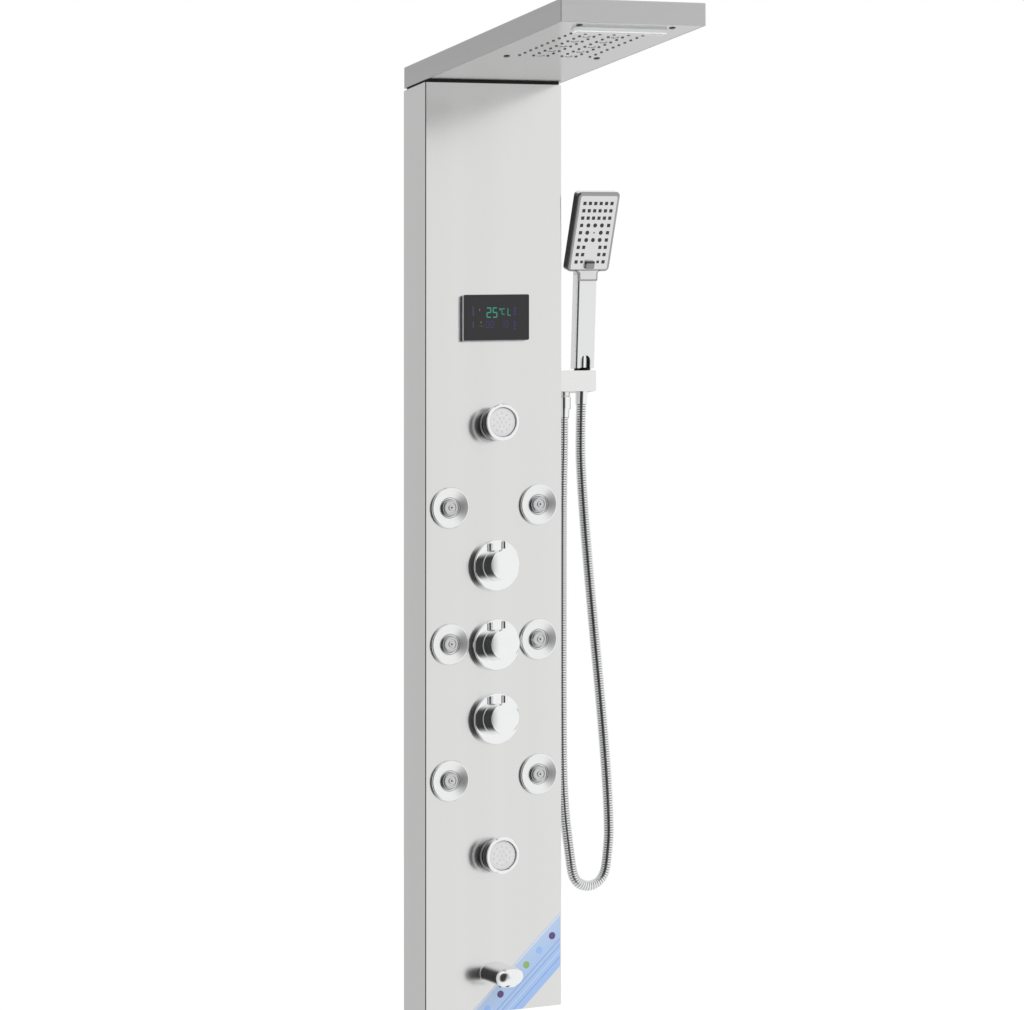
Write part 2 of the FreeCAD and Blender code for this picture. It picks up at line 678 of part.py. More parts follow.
# ---- temperature display: bezel on the casing, glass in the bezel, module through the casing ------------

bezel = body("bezel")
front = sketch(bezel, "XZ_Plane", ("0", "0", "column_depth"))
bezel_pad = pad(bezel, box(front, "0", "display_level", "display_wide", "display_tall"), "display_proud")
rounded(bezel, bezel_pad, "bezel_corner", lambda middle, along: abs(along.y) > 0.9)
BEZEL_FRONT = "column_depth + display_proud"
glass_seat = sketch(bezel, "XZ_Plane", ("0", "0", BEZEL_FRONT))
box(glass_seat, "0", "display_level", "display_wide - 2*bezel_wall", "display_tall - 2*bezel_wall")
pocket(bezel, glass_seat, "glass_thick")
window_hole = sketch(bezel, "XZ_Plane", ("0", "0", BEZEL_FRONT))
box(window_hole, "0", "display_level", "module_wide + 2*fit", "module_tall + 2*fit")
pocket(bezel, window_hole)
node("display_bezel", bezel)

glass = body("glass")
pane = sketch(glass, "XZ_Plane", ("0", "0", BEZEL_FRONT + " - glass_thick"))
GLASS_IN = "(2*bezel_wall + 2*fit)"
box(pane, "0", "display_level", "display_wide - " + GLASS_IN, "display_tall - " + GLASS_IN)
pad(glass, pane, "glass_thick")
node("display_window", glass)

module = body("module")
board = sketch(module, "XZ_Plane", ("0", "0", BEZEL_FRONT + " - glass_thick"))
pad(module, box(board, "0", "display_level", "module_wide", "module_tall"), "module_deep", back=True)
node("display_module", module)

# ---- valves: one brass manifold with three noses through the casing --------------------------------------

manifold = body("manifold")
LOW = "(valve_low - manifold_margin)"
HIGH = "(valve_high + manifold_margin)"
BRASS_MIDDLE = "(-manifold_back - manifold_deep/2)"
bar = sketch(manifold, "XY_Plane", ("0", "0", LOW))
pad(manifold, box(bar, "0", BRASS_MIDDLE, "manifold_wide", "manifold_deep"), HIGH + " - " + LOW)
FRONT = "manifold_back + manifold_deep"
seats = sketch(manifold, "XZ_Plane", ("0", "0", FRONT))
noses = sketch(manifold, "XZ_Plane", ("0", "0", FRONT))
bores = sketch(manifold, "XZ_Plane", ("0", "0", "column_depth + flange_proud"))
for level in ("valve_low", "valve_middle", "valve_high"):
    circle(seats, "0", level, "seat_size/2")
    circle(noses, "0", level, "nose_size/2")
    circle(bores, "0", level, "spindle_size/2 + slip")
pad(manifold, seats, "column_depth - sheet_thick - (%s)" % FRONT)
pad(manifold, noses, "column_depth + flange_proud - (%s)" % FRONT)
pocket(manifold, bores, "spindle_seat")
ARM_LEVELS = (("-", "valve_high"), ("", "valve_low"))
for side, level in ARM_LEVELS:
    arm = circle(sketch(manifold, "YZ_Plane"), BRASS_MIDDLE, level, "inlet_arm/2")
    pad(manifold, arm, "inlet_reach + inlet_arm/2", back=side == "-")
    inlet = circle(sketch(manifold, "XZ_Plane", ("0", "0", "inlet_back")), side + "inlet_reach", level, "inlet_size/2")
    pad(manifold, inlet, "inlet_thread")
    relief = sketch(manifold, "XZ_Plane", ("0", "0", "inlet_back + inlet_thread"))
    pad(manifold, circle(relief, side + "inlet_reach", level, "inlet_neck/2"), "-%s - inlet_back - inlet_thread" % BRASS_MIDDLE)
    bore = circle(sketch(manifold, "XZ_Plane", ("0", "0", "inlet_back")), side + "inlet_reach", level, "inlet_bore/2")
    pocket(manifold, bore, "-%s - inlet_back" % BRASS_MIDDLE, forward=True)
node("valve_manifold", manifold)


def forward_at(x, z):
    """A spot on the casing's front for a piece that is turned about an axis towards the user."""
    return (x, FACE, z, FORWARD)


VALVES = (("hot", "valve_high"), ("diverter", "valve_middle"), ("cold", "valve_low"))
flange = turned(
    "flange",
    (
        ("nose_size/2 + fit", "flange_proud - flange_wall"),
        ("flange_size/2 - 2*flange_wall", "flange_proud - flange_wall"),
        ("flange_size/2 - flange_wall", "flange_proud - 2*flange_wall"),
        ("flange_size/2 - flange_wall", "0"),
        ("flange_size/2", "0"),
        ("flange_size/2", "flange_proud - flange_wall"),
        ("flange_size/2 - flange_wall", "flange_proud", "flange_wall"),
        ("nose_size/2 + fit", "flange_proud"),
    ),
)
copies("valve_flanges", flange, [forward_at("0", level) for name, level in VALVES])


def lock_nut(name, across, bore):
    """A hexagon nut that lies on the plane it is placed on and is as thick as all the nuts."""
    made = body(name)
    face = hexagon(sketch(made, "XY_Plane"), "0", "0", across)
    pad(made, circle(face, "0", "0", bore), "nut_thick")
    return made


ring_nut = lock_nut("ring_nut", "ring_nut_across", "nose_size/2 + fit")
copies("valve_locknuts", ring_nut, [forward_at("0", level) for name, level in VALVES])

for name, level in VALVES:
    knob = turned(
        name + "_knob_body",
        (
            ("spindle_size/2", "flange_proud + knob_gap"),
            ("knob_size/2 - 1", "flange_proud + knob_gap"),
            ("knob_size/2", "flange_proud + knob_gap + 1"),
            ("knob_size/2", "knob_proud - crown_rise - 1.5"),
            ("knob_size/2 - 1.5", "knob_proud - crown_rise"),
            ("0", "knob_proud", dome("(knob_size/2 - 1.5)", "crown_rise")),
            ("0", "flange_proud + spindle_grip"),
            ("spindle_size/2", "flange_proud + spindle_grip"),
        ),
    )
    pin_hole = sketch(knob, "XZ_Plane", ("0", "0", "pin_seat - knob_size/2"))
    pocket(knob, circle(pin_hole, "0", "pin_front", "pin_size/2 + fit/2"))
    node(name + "_knob", place(knob, "0", FACE, level, FORWARD))
    PIN = "(pin_seat + pin_tall)"
    pin = turned(
        name + "_pin_body",
        (
            ("0", "0"),
            ("pin_size/2", "0"),
            ("pin_size/2", PIN + " - 1"),
            ("pin_size/2 - 1", PIN),
            ("0", PIN),
        ),
    )
    node(name + "_pin", place(pin, "0", "-column_depth - pin_front", level + " + knob_size/2 - pin_seat"))
    spindle = turned(
        name + "_spindle_body",
        (
            ("0", "flange_proud - spindle_seat + 0.5"),
            ("spindle_size/2", "flange_proud - spindle_seat + 0.5"),
            ("spindle_size/2", "flange_proud + spindle_grip"),
            ("0", "flange_proud + spindle_grip"),
        ),
    )
    node(name + "_spindle", place(spindle, "0", FACE, level, FORWARD))

# ---- body jets: a dish with its threaded tail, and a ball that tilts in the dish -------------------------

JETS = [(side + "jet_across/2", level) for level in ("jet_high", "jet_middle", "jet_low") for side in ("-", "")]
BALL = "(jet_ball/2)"
SOCKET = "(jet_ball/2 + slip + 0.1)"
REAR = "(jet_rear + 2.2)"
dish = turned(
    "dish",
    (
        ("water_bore/2", "-tail_length"),
        ("tail_size/2", "-tail_length"),
        ("tail_size/2", "0"),
        ("dish_size/2", "0"),
        ("dish_size/2", "dish_thick - 2"),
        ("dish_size/2 - 2", "dish_thick"),
        ("recess_size/2 + 1", "recess_level", "-dish_hollow"),
        ("recess_size/2", "recess_level"),
        ("recess_size/2 - 0.6", "recess_floor"),
        (on_ball(SOCKET, "recess_floor"), "recess_floor"),
        (on_ball(SOCKET, REAR), "-" + REAR, "-" + SOCKET),
        ("water_bore/2", "-" + REAR),
    ),
)
copies("jet_dishes", dish, [forward_at(x, z) for x, z in JETS])

BALL_FACE = on_ball(BALL, half("jet_face"))
for number, (x, z) in enumerate(JETS, 1):
    nozzle = turned(
        "jet_ball_%d" % number,
        (
            ("jet_hole/2", "-jet_rear"),
            (on_ball(BALL, "jet_rear"), "-jet_rear"),
            ("jet_face/2", BALL_FACE, BALL),
            ("jet_face/2 - 1.9", BALL_FACE),
            ("jet_face/2 - 2.3", BALL_FACE + " - jet_groove"),
            ("jet_core/2", BALL_FACE + " - jet_groove"),
            ("jet_core/2 - 0.4", BALL_FACE + " + 0.2"),
            ("jet_hole/2", BALL_FACE + " + 0.2"),
        ),
    )
    node("jet_nozzle_%d" % number, place(nozzle, x, FACE, z, FORWARD))

# ---- swivel sprays: base on the casing, a seat that tilts, and a head that pans in the seat --------------

SPRAYS = (("upper", "spray_high"), ("lower", "spray_low"))
CENTRE = "spray_centre"
HEAD_BALL = "(spray_ball/2)"
SEAT_IN = "(spray_ball/2 + slip)"
SEAT_OUT = "(spray_ball/2 + slip + seat_wall)"
BASE_IN = "(spray_ball/2 + 2*slip + seat_wall)"
BASE_REAR = "(seat_rear + 1.8)"
BASE_LIP = "(base_thick + spray_centre - 0.6)"
base = turned(
    "spray_base",
    (
        ("water_bore/2", "-tail_length"),
        ("tail_size/2", "-tail_length"),
        ("tail_size/2", "0"),
        ("base_size/2", "0"),
        ("base_size/2", "base_thick - 1.5"),
        ("base_size/2 - 1.5", "base_thick"),
        (on_ball(BASE_IN, BASE_LIP) + " + 1.2", "base_thick"),
        (on_ball(BASE_IN, BASE_LIP), "%s - %s" % (BASE_LIP, CENTRE)),
        (on_ball(BASE_IN, BASE_REAR), "-%s - %s" % (BASE_REAR, CENTRE), "-" + BASE_IN),
        ("water_bore/2", "-%s - %s" % (BASE_REAR, CENTRE)),
    ),
)
copies("spray_bases", base, [forward_at("0", level) for name, level in SPRAYS])

CUP_IN = "(cup_size/2 - rim_width)"
CUP_FLOOR = "(cup_front - face_depth - face_thick)"
NECK = "(neck_size/2)"
BALL_REAR = "(seat_rear - 1)"
for name, level in SPRAYS:
    seat = turned(
        name + "_seat_body",
        (
            (on_ball(SEAT_IN, "seat_rear"), "-seat_rear - " + CENTRE, "-" + SEAT_IN),
            (on_ball(SEAT_OUT, "seat_rear"), "-seat_rear - " + CENTRE),
            (on_ball(SEAT_OUT, "seat_front"), "seat_front - " + CENTRE, SEAT_OUT),
            (on_ball(SEAT_IN, "seat_front"), "seat_front - " + CENTRE),
        ),
    )
    node(name + "_spray_seat", place(seat, "0", FACE, level, FORWARD))
    cup = turned(
        name + "_cup_body",
        (
            ("water_bore/4", "-%s - %s" % (BALL_REAR, CENTRE)),
            (on_ball(HEAD_BALL, BALL_REAR), "-%s - %s" % (BALL_REAR, CENTRE)),
            (NECK, "%s - %s" % (on_ball(HEAD_BALL, NECK), CENTRE), HEAD_BALL),
            (NECK, "cup_back"),
            ("cup_size/2 - cup_round", "cup_back"),
            ("cup_size/2", "cup_back + cup_round", "cup_round"),
            ("cup_size/2", "cup_front - 1"),
            ("cup_size/2 - 1", "cup_front"),
            (CUP_IN + " + 0.5", "cup_front"),
            (CUP_IN, "cup_front - 0.5"),
            (CUP_IN, CUP_FLOOR),
            (CUP_IN + " - 2.5", CUP_FLOOR),
            (CUP_IN + " - 2.5", CUP_FLOOR + " - 3"),
            ("water_bore/4", CUP_FLOOR + " - 3"),
        ),
    )
    node(name + "_spray_head", place(cup, "0", FACE, level, FORWARD))
    face = turned(
        name + "_face_body",
        (
            ("0", CUP_FLOOR),
            (CUP_IN + " - fit", CUP_FLOOR),
            (CUP_IN + " - fit", "cup_front - face_depth - 0.8"),
            (CUP_IN + " - fit - 0.8", "cup_front - face_depth"),
            ("0", "cup_front - face_depth"),
        ),
    )
    for ring, turns in ((0, [0]), (1, range(0, 360, 60)), (2, range(18, 360, 72)), (2, range(54, 360, 72))):
        bumps = sketch(face, "XY_Plane", ("0", "0", "cup_front - face_depth"))
        for turn in turns:
            cosine, sine = math.cos(math.radians(turn)), math.sin(math.radians(turn))
            hexagon(bumps, "%d*bump_ring*(%.6f)" % (ring, cosine), "%d*bump_ring*(%.6f)" % (ring, sine), "bump_size")
        pad(face, bumps, "bump_proud")
    node(name + "_spray_face", place(face, "0", FACE, level, FORWARD))

# ---- lock nuts behind the casing ----------------------------------------------------------------------

INNER_FACE = "sheet_thick - column_depth"
tail_nut = lock_nut("tail_nut", "tail_nut_across", "tail_size/2 + fit")
INSIDE = Rotation(Vector(1, 0, 0), -90)
tails = [(x, INNER_FACE, z, INSIDE) for x, z in JETS] + [("0", INNER_FACE, z, INSIDE) for name, z in SPRAYS]
copies("panel_locknuts", tail_nut, tails)
pipe_nut = lock_nut("pipe_nut", "pipe_nut_across", "pipe_tail/2 + fit")
TO_LEFT = Rotation(Vector(0, 1, 0), -90)
HOLDER_WALL = "column_width/2 - sheet_thick"
pipe_spots = [
    ("0", INNER_FACE, "spout_level", INSIDE),
    (HOLDER_WALL, "-holder_reach", "holder_level", TO_LEFT),
]
copies("pipe_locknuts", pipe_nut, pipe_spots)

# ---- tub spout: an oval tube with a sloped, rounded end and an outlet collar below it ---------------------

spout = body("spout")
SPOUT_END = "column_depth + spout_length"
oval = box(sketch(spout, "XZ_Plane", ("0", "0", "column_depth")), "0", "spout_level", "spout_wide", "spout_tall")
tube = pad(spout, oval, "spout_length")
side_view = sketch(spout, "YZ_Plane", ("0", "0", "-spout_wide"))
SPOUT_TOP = "spout_level + spout_tall/2"
SPOUT_FOOT = "spout_level - spout_tall/2"
outline(
    side_view,
    (
        ("-%s" % SPOUT_END.replace(" + ", " - "), SPOUT_TOP + " + 1"),
        ("spout_slope - %s" % SPOUT_END.replace(" + ", " - "), SPOUT_FOOT + " - 1"),
        ("-1 - %s" % SPOUT_END.replace(" + ", " - "), SPOUT_FOOT + " - 1"),
    ),
)
sloped = pocket(spout, side_view, "2*spout_wide", forward=True)
oval_edges = rounded(
    spout,
    sloped,
    "spout_tall/2 - 0.2",
    lambda middle, along: abs(along.y) > 0.9 and abs(middle.x) > value("spout_wide/2") - 0.1,
)
tip_edges = rounded(
    spout,
    oval_edges,
    "spout_round",
    lambda middle, along: middle.y < value("spout_slope - column_depth - spout_length") + 0.1,
)
collar = sketch(spout, "XY_Plane", ("0", "0", SPOUT_FOOT + " - outlet_drop"))
OUTLET = "-column_depth - outlet_reach"
pad(spout, circle(collar, "0", OUTLET, "outlet_size/2"), "outlet_drop + 4")
tail = circle(sketch(spout, "XZ_Plane", ("0", "0", "column_depth")), "0", "spout_level", "pipe_tail/2")
pad(spout, tail, "pipe_tail_length", back=True)
way = sketch(spout, "XZ_Plane", ("0", "0", "column_depth - pipe_tail_length"))
pocket(spout, circle(way, "0", "spout_level", "spout_bore/2"), "pipe_tail_length + outlet_reach", forward=True)
down = sketch(spout, "XY_Plane", ("0", "0", SPOUT_FOOT + " - outlet_drop"))
pocket(spout, circle(down, "0", OUTLET, "spout_bore/2"), "outlet_drop + spout_tall/2", forward=True)
cup_seat = sketch(spout, "XY_Plane", ("0", "0", SPOUT_FOOT + " - outlet_drop"))
pocket(spout, circle(cup_seat, "0", OUTLET, "aerator_size/2 + fit"), "aerator_thick", forward=True)
node("tub_spout", spout)

aerator = body("aerator")
mesh_face = sketch(aerator, "XY_Plane", ("0", "0", SPOUT_FOOT + " - outlet_drop"))
pad(aerator, circle(mesh_face, "0", OUTLET, "aerator_size/2"), "aerator_thick")
cell = sketch(aerator, "XY_Plane", ("0", "0", SPOUT_FOOT + " - outlet_drop"))
hexagon(cell, "aerator_size/3.4", OUTLET, "aerator_size/6")
holes_below = pocket(aerator, cell, "aerator_thick/2", forward=True)
about = sketch(aerator, "XY_Plane", ("0", OUTLET, "0"))
cells = aerator.newObject("PartDesign::PolarPattern", "aerator_cells")
cells.Originals = [holes_below]
cells.Axis = (about, ["N_Axis"])
cells.Angle = 360
cells.Occurrences = 8
aerator.Tip = cells
node("spout_aerator", aerator)

# ---- holder block on the casing's side: cradle for the hand shower and outlet for its hose ----------------

holder = body("holder")
SIDE = "column_width/2"
HOLDER_TOP = "(holder_level + holder_thick/2)"
HOLDER_FOOT = "(holder_level - holder_thick/2)"
square = sketch(holder, "YZ_Plane", ("0", "0", SIDE))
bar_end = pad(holder, box(square, "-holder_reach", "holder_level", "holder_thick", "holder_thick"), "holder_long")
rounded(
    holder,
    bar_end,
    "holder_edge",
    lambda middle, along: middle.x > value(SIDE) + 1,
)
AXIS = SIDE + " + cradle_out"
CONE_SLOPE = "((cone_high - cone_low)/2/holder_thick)"
cradle = sketch(holder, "YZ_Plane", ("-holder_reach", HOLDER_TOP, AXIS), angle="lean")
outline(
    cradle,
    (
        ("0", "-holder_thick - 2"),
        ("cone_low/2 + slip - 2*" + CONE_SLOPE, "-holder_thick - 2"),
        ("cone_high/2 + slip + 2*" + CONE_SLOPE, "2"),
        ("0", "2"),
    ),
)
revolved(holder, cradle, "PartDesign::Groove")
OUTLET_X = SIDE + " + outlet_out"
spigot = circle(sketch(holder, "XY_Plane", ("0", "0", HOLDER_FOOT)), OUTLET_X, "-holder_reach", "outlet_spigot/2")
pad(holder, spigot, "spigot_drop", back=True)
neck = circle(sketch(holder, "XY_Plane", ("0", "0", HOLDER_FOOT)), OUTLET_X, "-holder_reach", "nut_size/2 - 1")
pad(holder, neck, "nut_drop - 1", back=True)
tail = circle(sketch(holder, "YZ_Plane", ("0", "0", SIDE)), "-holder_reach", "holder_level", "pipe_tail/2")
pad(holder, tail, "pipe_tail_length", back=True)
inlet_way = sketch(holder, "YZ_Plane", ("0", "0", SIDE + " - pipe_tail_length"))
circle(inlet_way, "-holder_reach", "holder_level", "hose_bore/2")
pocket(holder, inlet_way, "pipe_tail_length + outlet_out", forward=True)
outlet_way = sketch(holder, "XY_Plane", ("0", "0", HOLDER_FOOT + " - spigot_drop"))
pocket(
    holder,
    circle(outlet_way, OUTLET_X, "-holder_reach", "hose_bore/2"),
    "spigot_drop + holder_thick/2",
    forward=True,
)
node("holder_block", holder)

NUT_TOP = "(%s - nut_drop)" % HOLDER_FOOT
hose_nut = turned(
    "hose_nut_body",
    (
        ("hose_bore/2", "-nut_long - ferrule_long"),
        ("hose_size/2 + 0.6", "-nut_long - ferrule_long"),
        ("nut_size/2 - 1.5", "-nut_long"),
        ("nut_size/2", "-nut_long"),
        ("nut_size/2", "-1"),
        ("nut_size/2 - 1", "0"),
        ("outlet_spigot/2 + fit", "0"),
        ("outlet_spigot/2 + fit", "nut_drop - spigot_drop - 1"),
        ("hose_bore/2", "nut_drop - spigot_drop - 1"),
    ),
)
node("hose_nut", place(hose_nut, OUTLET_X, "-holder_reach", NUT_TOP))


def on_handset(thing):
    """Places a piece in the hand shower's own frame: on the block's top, Z along the leaning axis."""
    return place(thing, AXIS, "-holder_reach", HOLDER_TOP, angle="lean")


cone = turned(
    "cone",
    (
        ("hose_bore/2", "-holder_thick - cone_tail"),
        ("cone_low/2 - 0.4", "-holder_thick - cone_tail"),
        ("cone_low/2", "-holder_thick"),
        ("cone_high/2", "0"),
        ("cone_high/2", "collar_gap"),
        ("collar_size/2", "collar_gap"),
        ("collar_size/2", "collar_gap + collar_thick"),
        ("spigot_size/2", "collar_gap + collar_thick"),
        ("spigot_size/2", "spigot_long - 1"),
        ("spigot_size/2 - 1", "spigot_long"),
        ("hose_bore/2", "spigot_long"),
    ),
)
node("hose_cone", on_handset(cone))

# ---- hand shower, in a frame whose Z runs along the handle --------------------------------------------------

FOOT = "(collar_gap + collar_thick + slip)"
handset = body("handset")
# The head's plane is turned forward about a line across the handle's front, at the head's foot.
TILT_AXIS = Vector(1, 0, 0)
HEAD_FOOT = ("0", "handle_long", "handle_deep/2 + 0.6")


def head_plane(owner, depth):
    """A sketch parallel to the hand shower's face, behind it by a depth. Its Y runs up along the face."""
    x, up, forward = HEAD_FOOT
    shift = (x, "%s + (%s)*sin(head_tilt)" % (up, depth), "%s - (%s)*cos(head_tilt)" % (forward, depth))
    return sketch(owner, "XZ_Plane", shift, axis=TILT_AXIS, angle="head_tilt")


EDGE = "spray_wide/2"
TAB = "tab_wide/2"
head_outline = (
    ("-" + EDGE + " + spray_corner", "0", "spray_corner"),
    ("-" + TAB + " - tab_round", "0"),
    ("-" + TAB, "-tab_round", "-tab_round"),
    ("-" + TAB, "-tab_long"),
    (TAB, "-tab_long"),
    (TAB, "-tab_round"),
    (TAB + " + tab_round", "0", "-tab_round"),
    (EDGE + " - spray_corner", "0"),
    (EDGE, "spray_corner", "spray_corner"),
    (EDGE, "spray_long - spray_corner"),
    (EDGE + " - spray_corner", "spray_long", "spray_corner"),
    ("spray_corner - " + EDGE, "spray_long"),
    ("-" + EDGE, "spray_long - spray_corner", "spray_corner"),
    ("-" + EDGE, "spray_corner"),
)
head = pad(handset, outline(head_plane(handset, "spray_thick"), head_outline), "spray_thick")
doc.recompute()
FACE_TURN = Rotation(Vector(1, 0, 0), value("head_tilt"))
FACE_NORMAL = FACE_TURN.multVec(Vector(0, -1, 0))
FACE_POINT = Vector(0, -value("handle_deep/2 + 0.6"), value("handle_long"))


def lies_at(depth):
    """A test for edges in the plane that lies behind the face by a depth."""

    def wanted(middle, along):
        height = (middle - FACE_POINT).dot(FACE_NORMAL)
        return abs(height + depth) < 0.05 and abs(along.dot(FACE_NORMAL)) < 0.05

    return wanted


bevelled = rounded(handset, head, "spray_bevel", lies_at(0), "PartDesign::Chamfer")
rounded(handset, bevelled, "spray_back", lies_at(value("spray_thick")))
ROUND = "handle_edge"
WIDE, DEEP = "handle_wide/2", "handle_deep/2"
grip = (
    (WIDE + " - " + ROUND, "-" + DEEP),
    (WIDE, ROUND + " - " + DEEP, ROUND),
    (WIDE, DEEP + " - " + ROUND),
    (WIDE + " - " + ROUND, DEEP, ROUND),
    (ROUND + " - " + WIDE, DEEP),
    ("-" + WIDE, DEEP + " - " + ROUND, ROUND),
    ("-" + WIDE, ROUND + " - " + DEEP),
    (ROUND + " - " + WIDE, "-" + DEEP, ROUND),
)
pad(handset, outline(sketch(handset, "XY_Plane", ("0", "0", FOOT)), grip), "handle_long + 2")
IN = "rim_inset"
plate_outline = [
    ("-" + EDGE + " + spray_corner", IN, "spray_corner - " + IN),
    ("-" + TAB + " - tab_round + " + IN, IN),
    ("-" + TAB + " + " + IN, "-tab_round + " + IN, "-tab_round"),
    ("-" + TAB + " + " + IN, "-tab_long"),
    (TAB + " - " + IN, "-tab_long"),
    (TAB + " - " + IN, "-tab_round + " + IN),
    (TAB + " + tab_round - " + IN, IN, "-tab_round"),
    (EDGE + " - spray_corner", IN, ),
    (EDGE + " - " + IN, "spray_corner", "spray_corner - " + IN),
    (EDGE + " - " + IN, "spray_long - spray_corner"),
    (EDGE + " - spray_corner", "spray_long - " + IN, "spray_corner - " + IN),
    ("spray_corner - " + EDGE, "spray_long - " + IN),
    ("-" + EDGE + " + " + IN, "spray_long - spray_corner", "spray_corner - " + IN),
    ("-" + EDGE + " + " + IN, "spray_corner"),
]
# The plate lies in a recess of its own outline, and the mat in a smaller one behind it.
pocket(handset, outline(head_plane(handset, "0"), plate_outline), "face_plate_thick")
MAT_SPAN = "(5*dot_pitch + dot_size + 3)"
MAT_REACH = "(8*dot_step + dot_size + 3)"
behind = box(head_plane(handset, "face_plate_thick"), "0", "face_centre", MAT_SPAN + " + fit", MAT_REACH + " + fit")
pocket(handset, behind, "spray_mat")
key_room = head_plane(handset, "face_plate_thick")
pocket(handset, box(key_room, "0", "face_centre - lever_drop", MAT_SPAN, "lever_tall + 4"), "spray_mat")
notch = sketch(handset, "XZ_Plane", ("0", "0", "-notch_wide/2"))
outline(
    notch,
    (
        ("-notch_wide/2", FOOT + " - 1"),
        ("notch_wide/2", FOOT + " - 1"),
        ("notch_wide/2", FOOT + " + notch_tall - notch_wide/2"),
        ("0", FOOT + " + notch_tall", "notch_wide/2"),
        ("-notch_wide/2", FOOT + " + notch_tall - notch_wide/2", "notch_wide/2"),
    ),
)
pocket(handset, notch, forward=True)
swivel = circle(sketch(handset, "XY_Plane", ("0", "0", FOOT)), "0", "0", "spigot_size/2 + slip")
pocket(handset, swivel, "spigot_long + 1 - " + FOOT, forward=True)
node("handset_shell", on_handset(handset))

# Nozzles of the face, row by row from the top: small square ones, with larger ones round the middle.
OUTER, INNER = ("-2.5", "2.5"), ("-1.5", "1.5")
ROWS = [(step, OUTER + INNER + ("-0.5", "0.5"), ()) for step in (4, 3, 2)]
ROWS += [(1, OUTER, ("-1.25", "0", "1.25")), (0, OUTER, ("-1.25", "1.25")), (-1, OUTER, ("-1.25", "0", "1.25"))]
ROWS += [(step, OUTER + INNER, ()) for step in (-2, -3, -4)]
LEVER_LEVEL = "(face_centre - lever_drop)"
SLOT_WIDE = "(lever_neck + 2*lever_drop*sin(lever_swing) + 1.4)"


def nozzle_rows(owner, depth, margin, make):
    """One sketch for each row at a depth behind the face, its outlines larger all round by a margin."""
    for step, small, large in ROWS:
        row = head_plane(owner, depth)
        level = "face_centre + (%d)*dot_step" % step
        for x in small:
            box(row, "(%s)*dot_pitch" % x, level, "(dot_size + 2*%s)" % margin, "(dot_size + 2*%s)" % margin)
        for x in large:
            hexagon(row, "(%s)*dot_pitch" % x, level, "big_dot + 2*" + margin)
        make(row)


face_plate = body("face_plate")
pad(face_plate, outline(head_plane(face_plate, "face_plate_thick"), plate_outline), "face_plate_thick")
nozzle_rows(face_plate, "0", "fit", lambda row: pocket(face_plate, row))
pocket(face_plate, box(head_plane(face_plate, "0"), "0", LEVER_LEVEL, SLOT_WIDE, "lever_neck + 1.6"))
node("handset_face_plate", on_handset(face_plate))

dots = body("dots")
SLOT_SIDE = "(%s/2 + 3)" % SLOT_WIDE
SLOT_TOP = "%s + lever_tall/2 + 1" % LEVER_LEVEL
MAT_FOOT = "face_centre - %s/2" % MAT_REACH
MAT_TOP = "face_centre + %s/2" % MAT_REACH
mat_outline = (
    ("-%s/2" % MAT_SPAN, MAT_FOOT),
    ("-" + SLOT_SIDE, MAT_FOOT),
    ("-" + SLOT_SIDE, SLOT_TOP),
    (SLOT_SIDE, SLOT_TOP),
    (SLOT_SIDE, MAT_FOOT),
    ("%s/2" % MAT_SPAN, MAT_FOOT),
    ("%s/2" % MAT_SPAN, MAT_TOP),
    ("-%s/2" % MAT_SPAN, MAT_TOP),
)
pad(dots, outline(head_plane(dots, "face_plate_thick + spray_mat"), mat_outline), "spray_mat")
nozzle_rows(dots, "face_plate_thick", "0", lambda row: pad(dots, row, "face_plate_thick + dot_proud"))
node("handset_nozzles", on_handset(dots))

selector = body("selector")
cap = box(head_plane(selector, "-slip"), "0", LEVER_LEVEL, "lever_wide", "lever_tall")
pad(selector, cap, "lever_proud")
stem = box(head_plane(selector, "face_plate_thick + slip"), "0", LEVER_LEVEL, "lever_neck", "lever_neck")
pad(selector, stem, "face_plate_thick + 2*slip + 1")
key = box(head_plane(selector, "face_plate_thick + spray_mat - slip"), "0", LEVER_LEVEL, "lever_wide - 1", "lever_neck + 3")
pad(selector, key, "spray_mat - 2*slip")
node("handset_selector", on_handset(selector))

# ---- pipes behind the casing --------------------------------------------------------------------------------


def union(name, pieces):
    made = doc.addObject("Part::MultiFuse", name)
    made.Shapes = pieces
    return made


def rod(name, radius, length, x, y, z, turn=UP):
    """A cylinder from a point along its turned Z."""
    made = doc.addObject("Part::Cylinder", name)
    bind(made, Radius=radius, Height=length)
    return place(made, x, y, z, turn)


def supply_tube(name, x, low, high, stubs, feeds=()):
    """An upright tube with stubs towards the casing's front, each (level, depth), and side feeds to the manifold."""
    pieces = [rod(name + "_run", "tube_size/2", "%s - (%s)" % (high, low), x, "-tube_back", low)]
    for level, depth in stubs:
        pieces.append(rod(name + "_stub", "stub_size/2", depth, x, "-tube_back", level, FORWARD))
    for start, length, level, turn in feeds:
        pieces.append(rod(name + "_feed", "tube_size/2", length, start, "-tube_back", level, turn))
    return union(name, pieces)


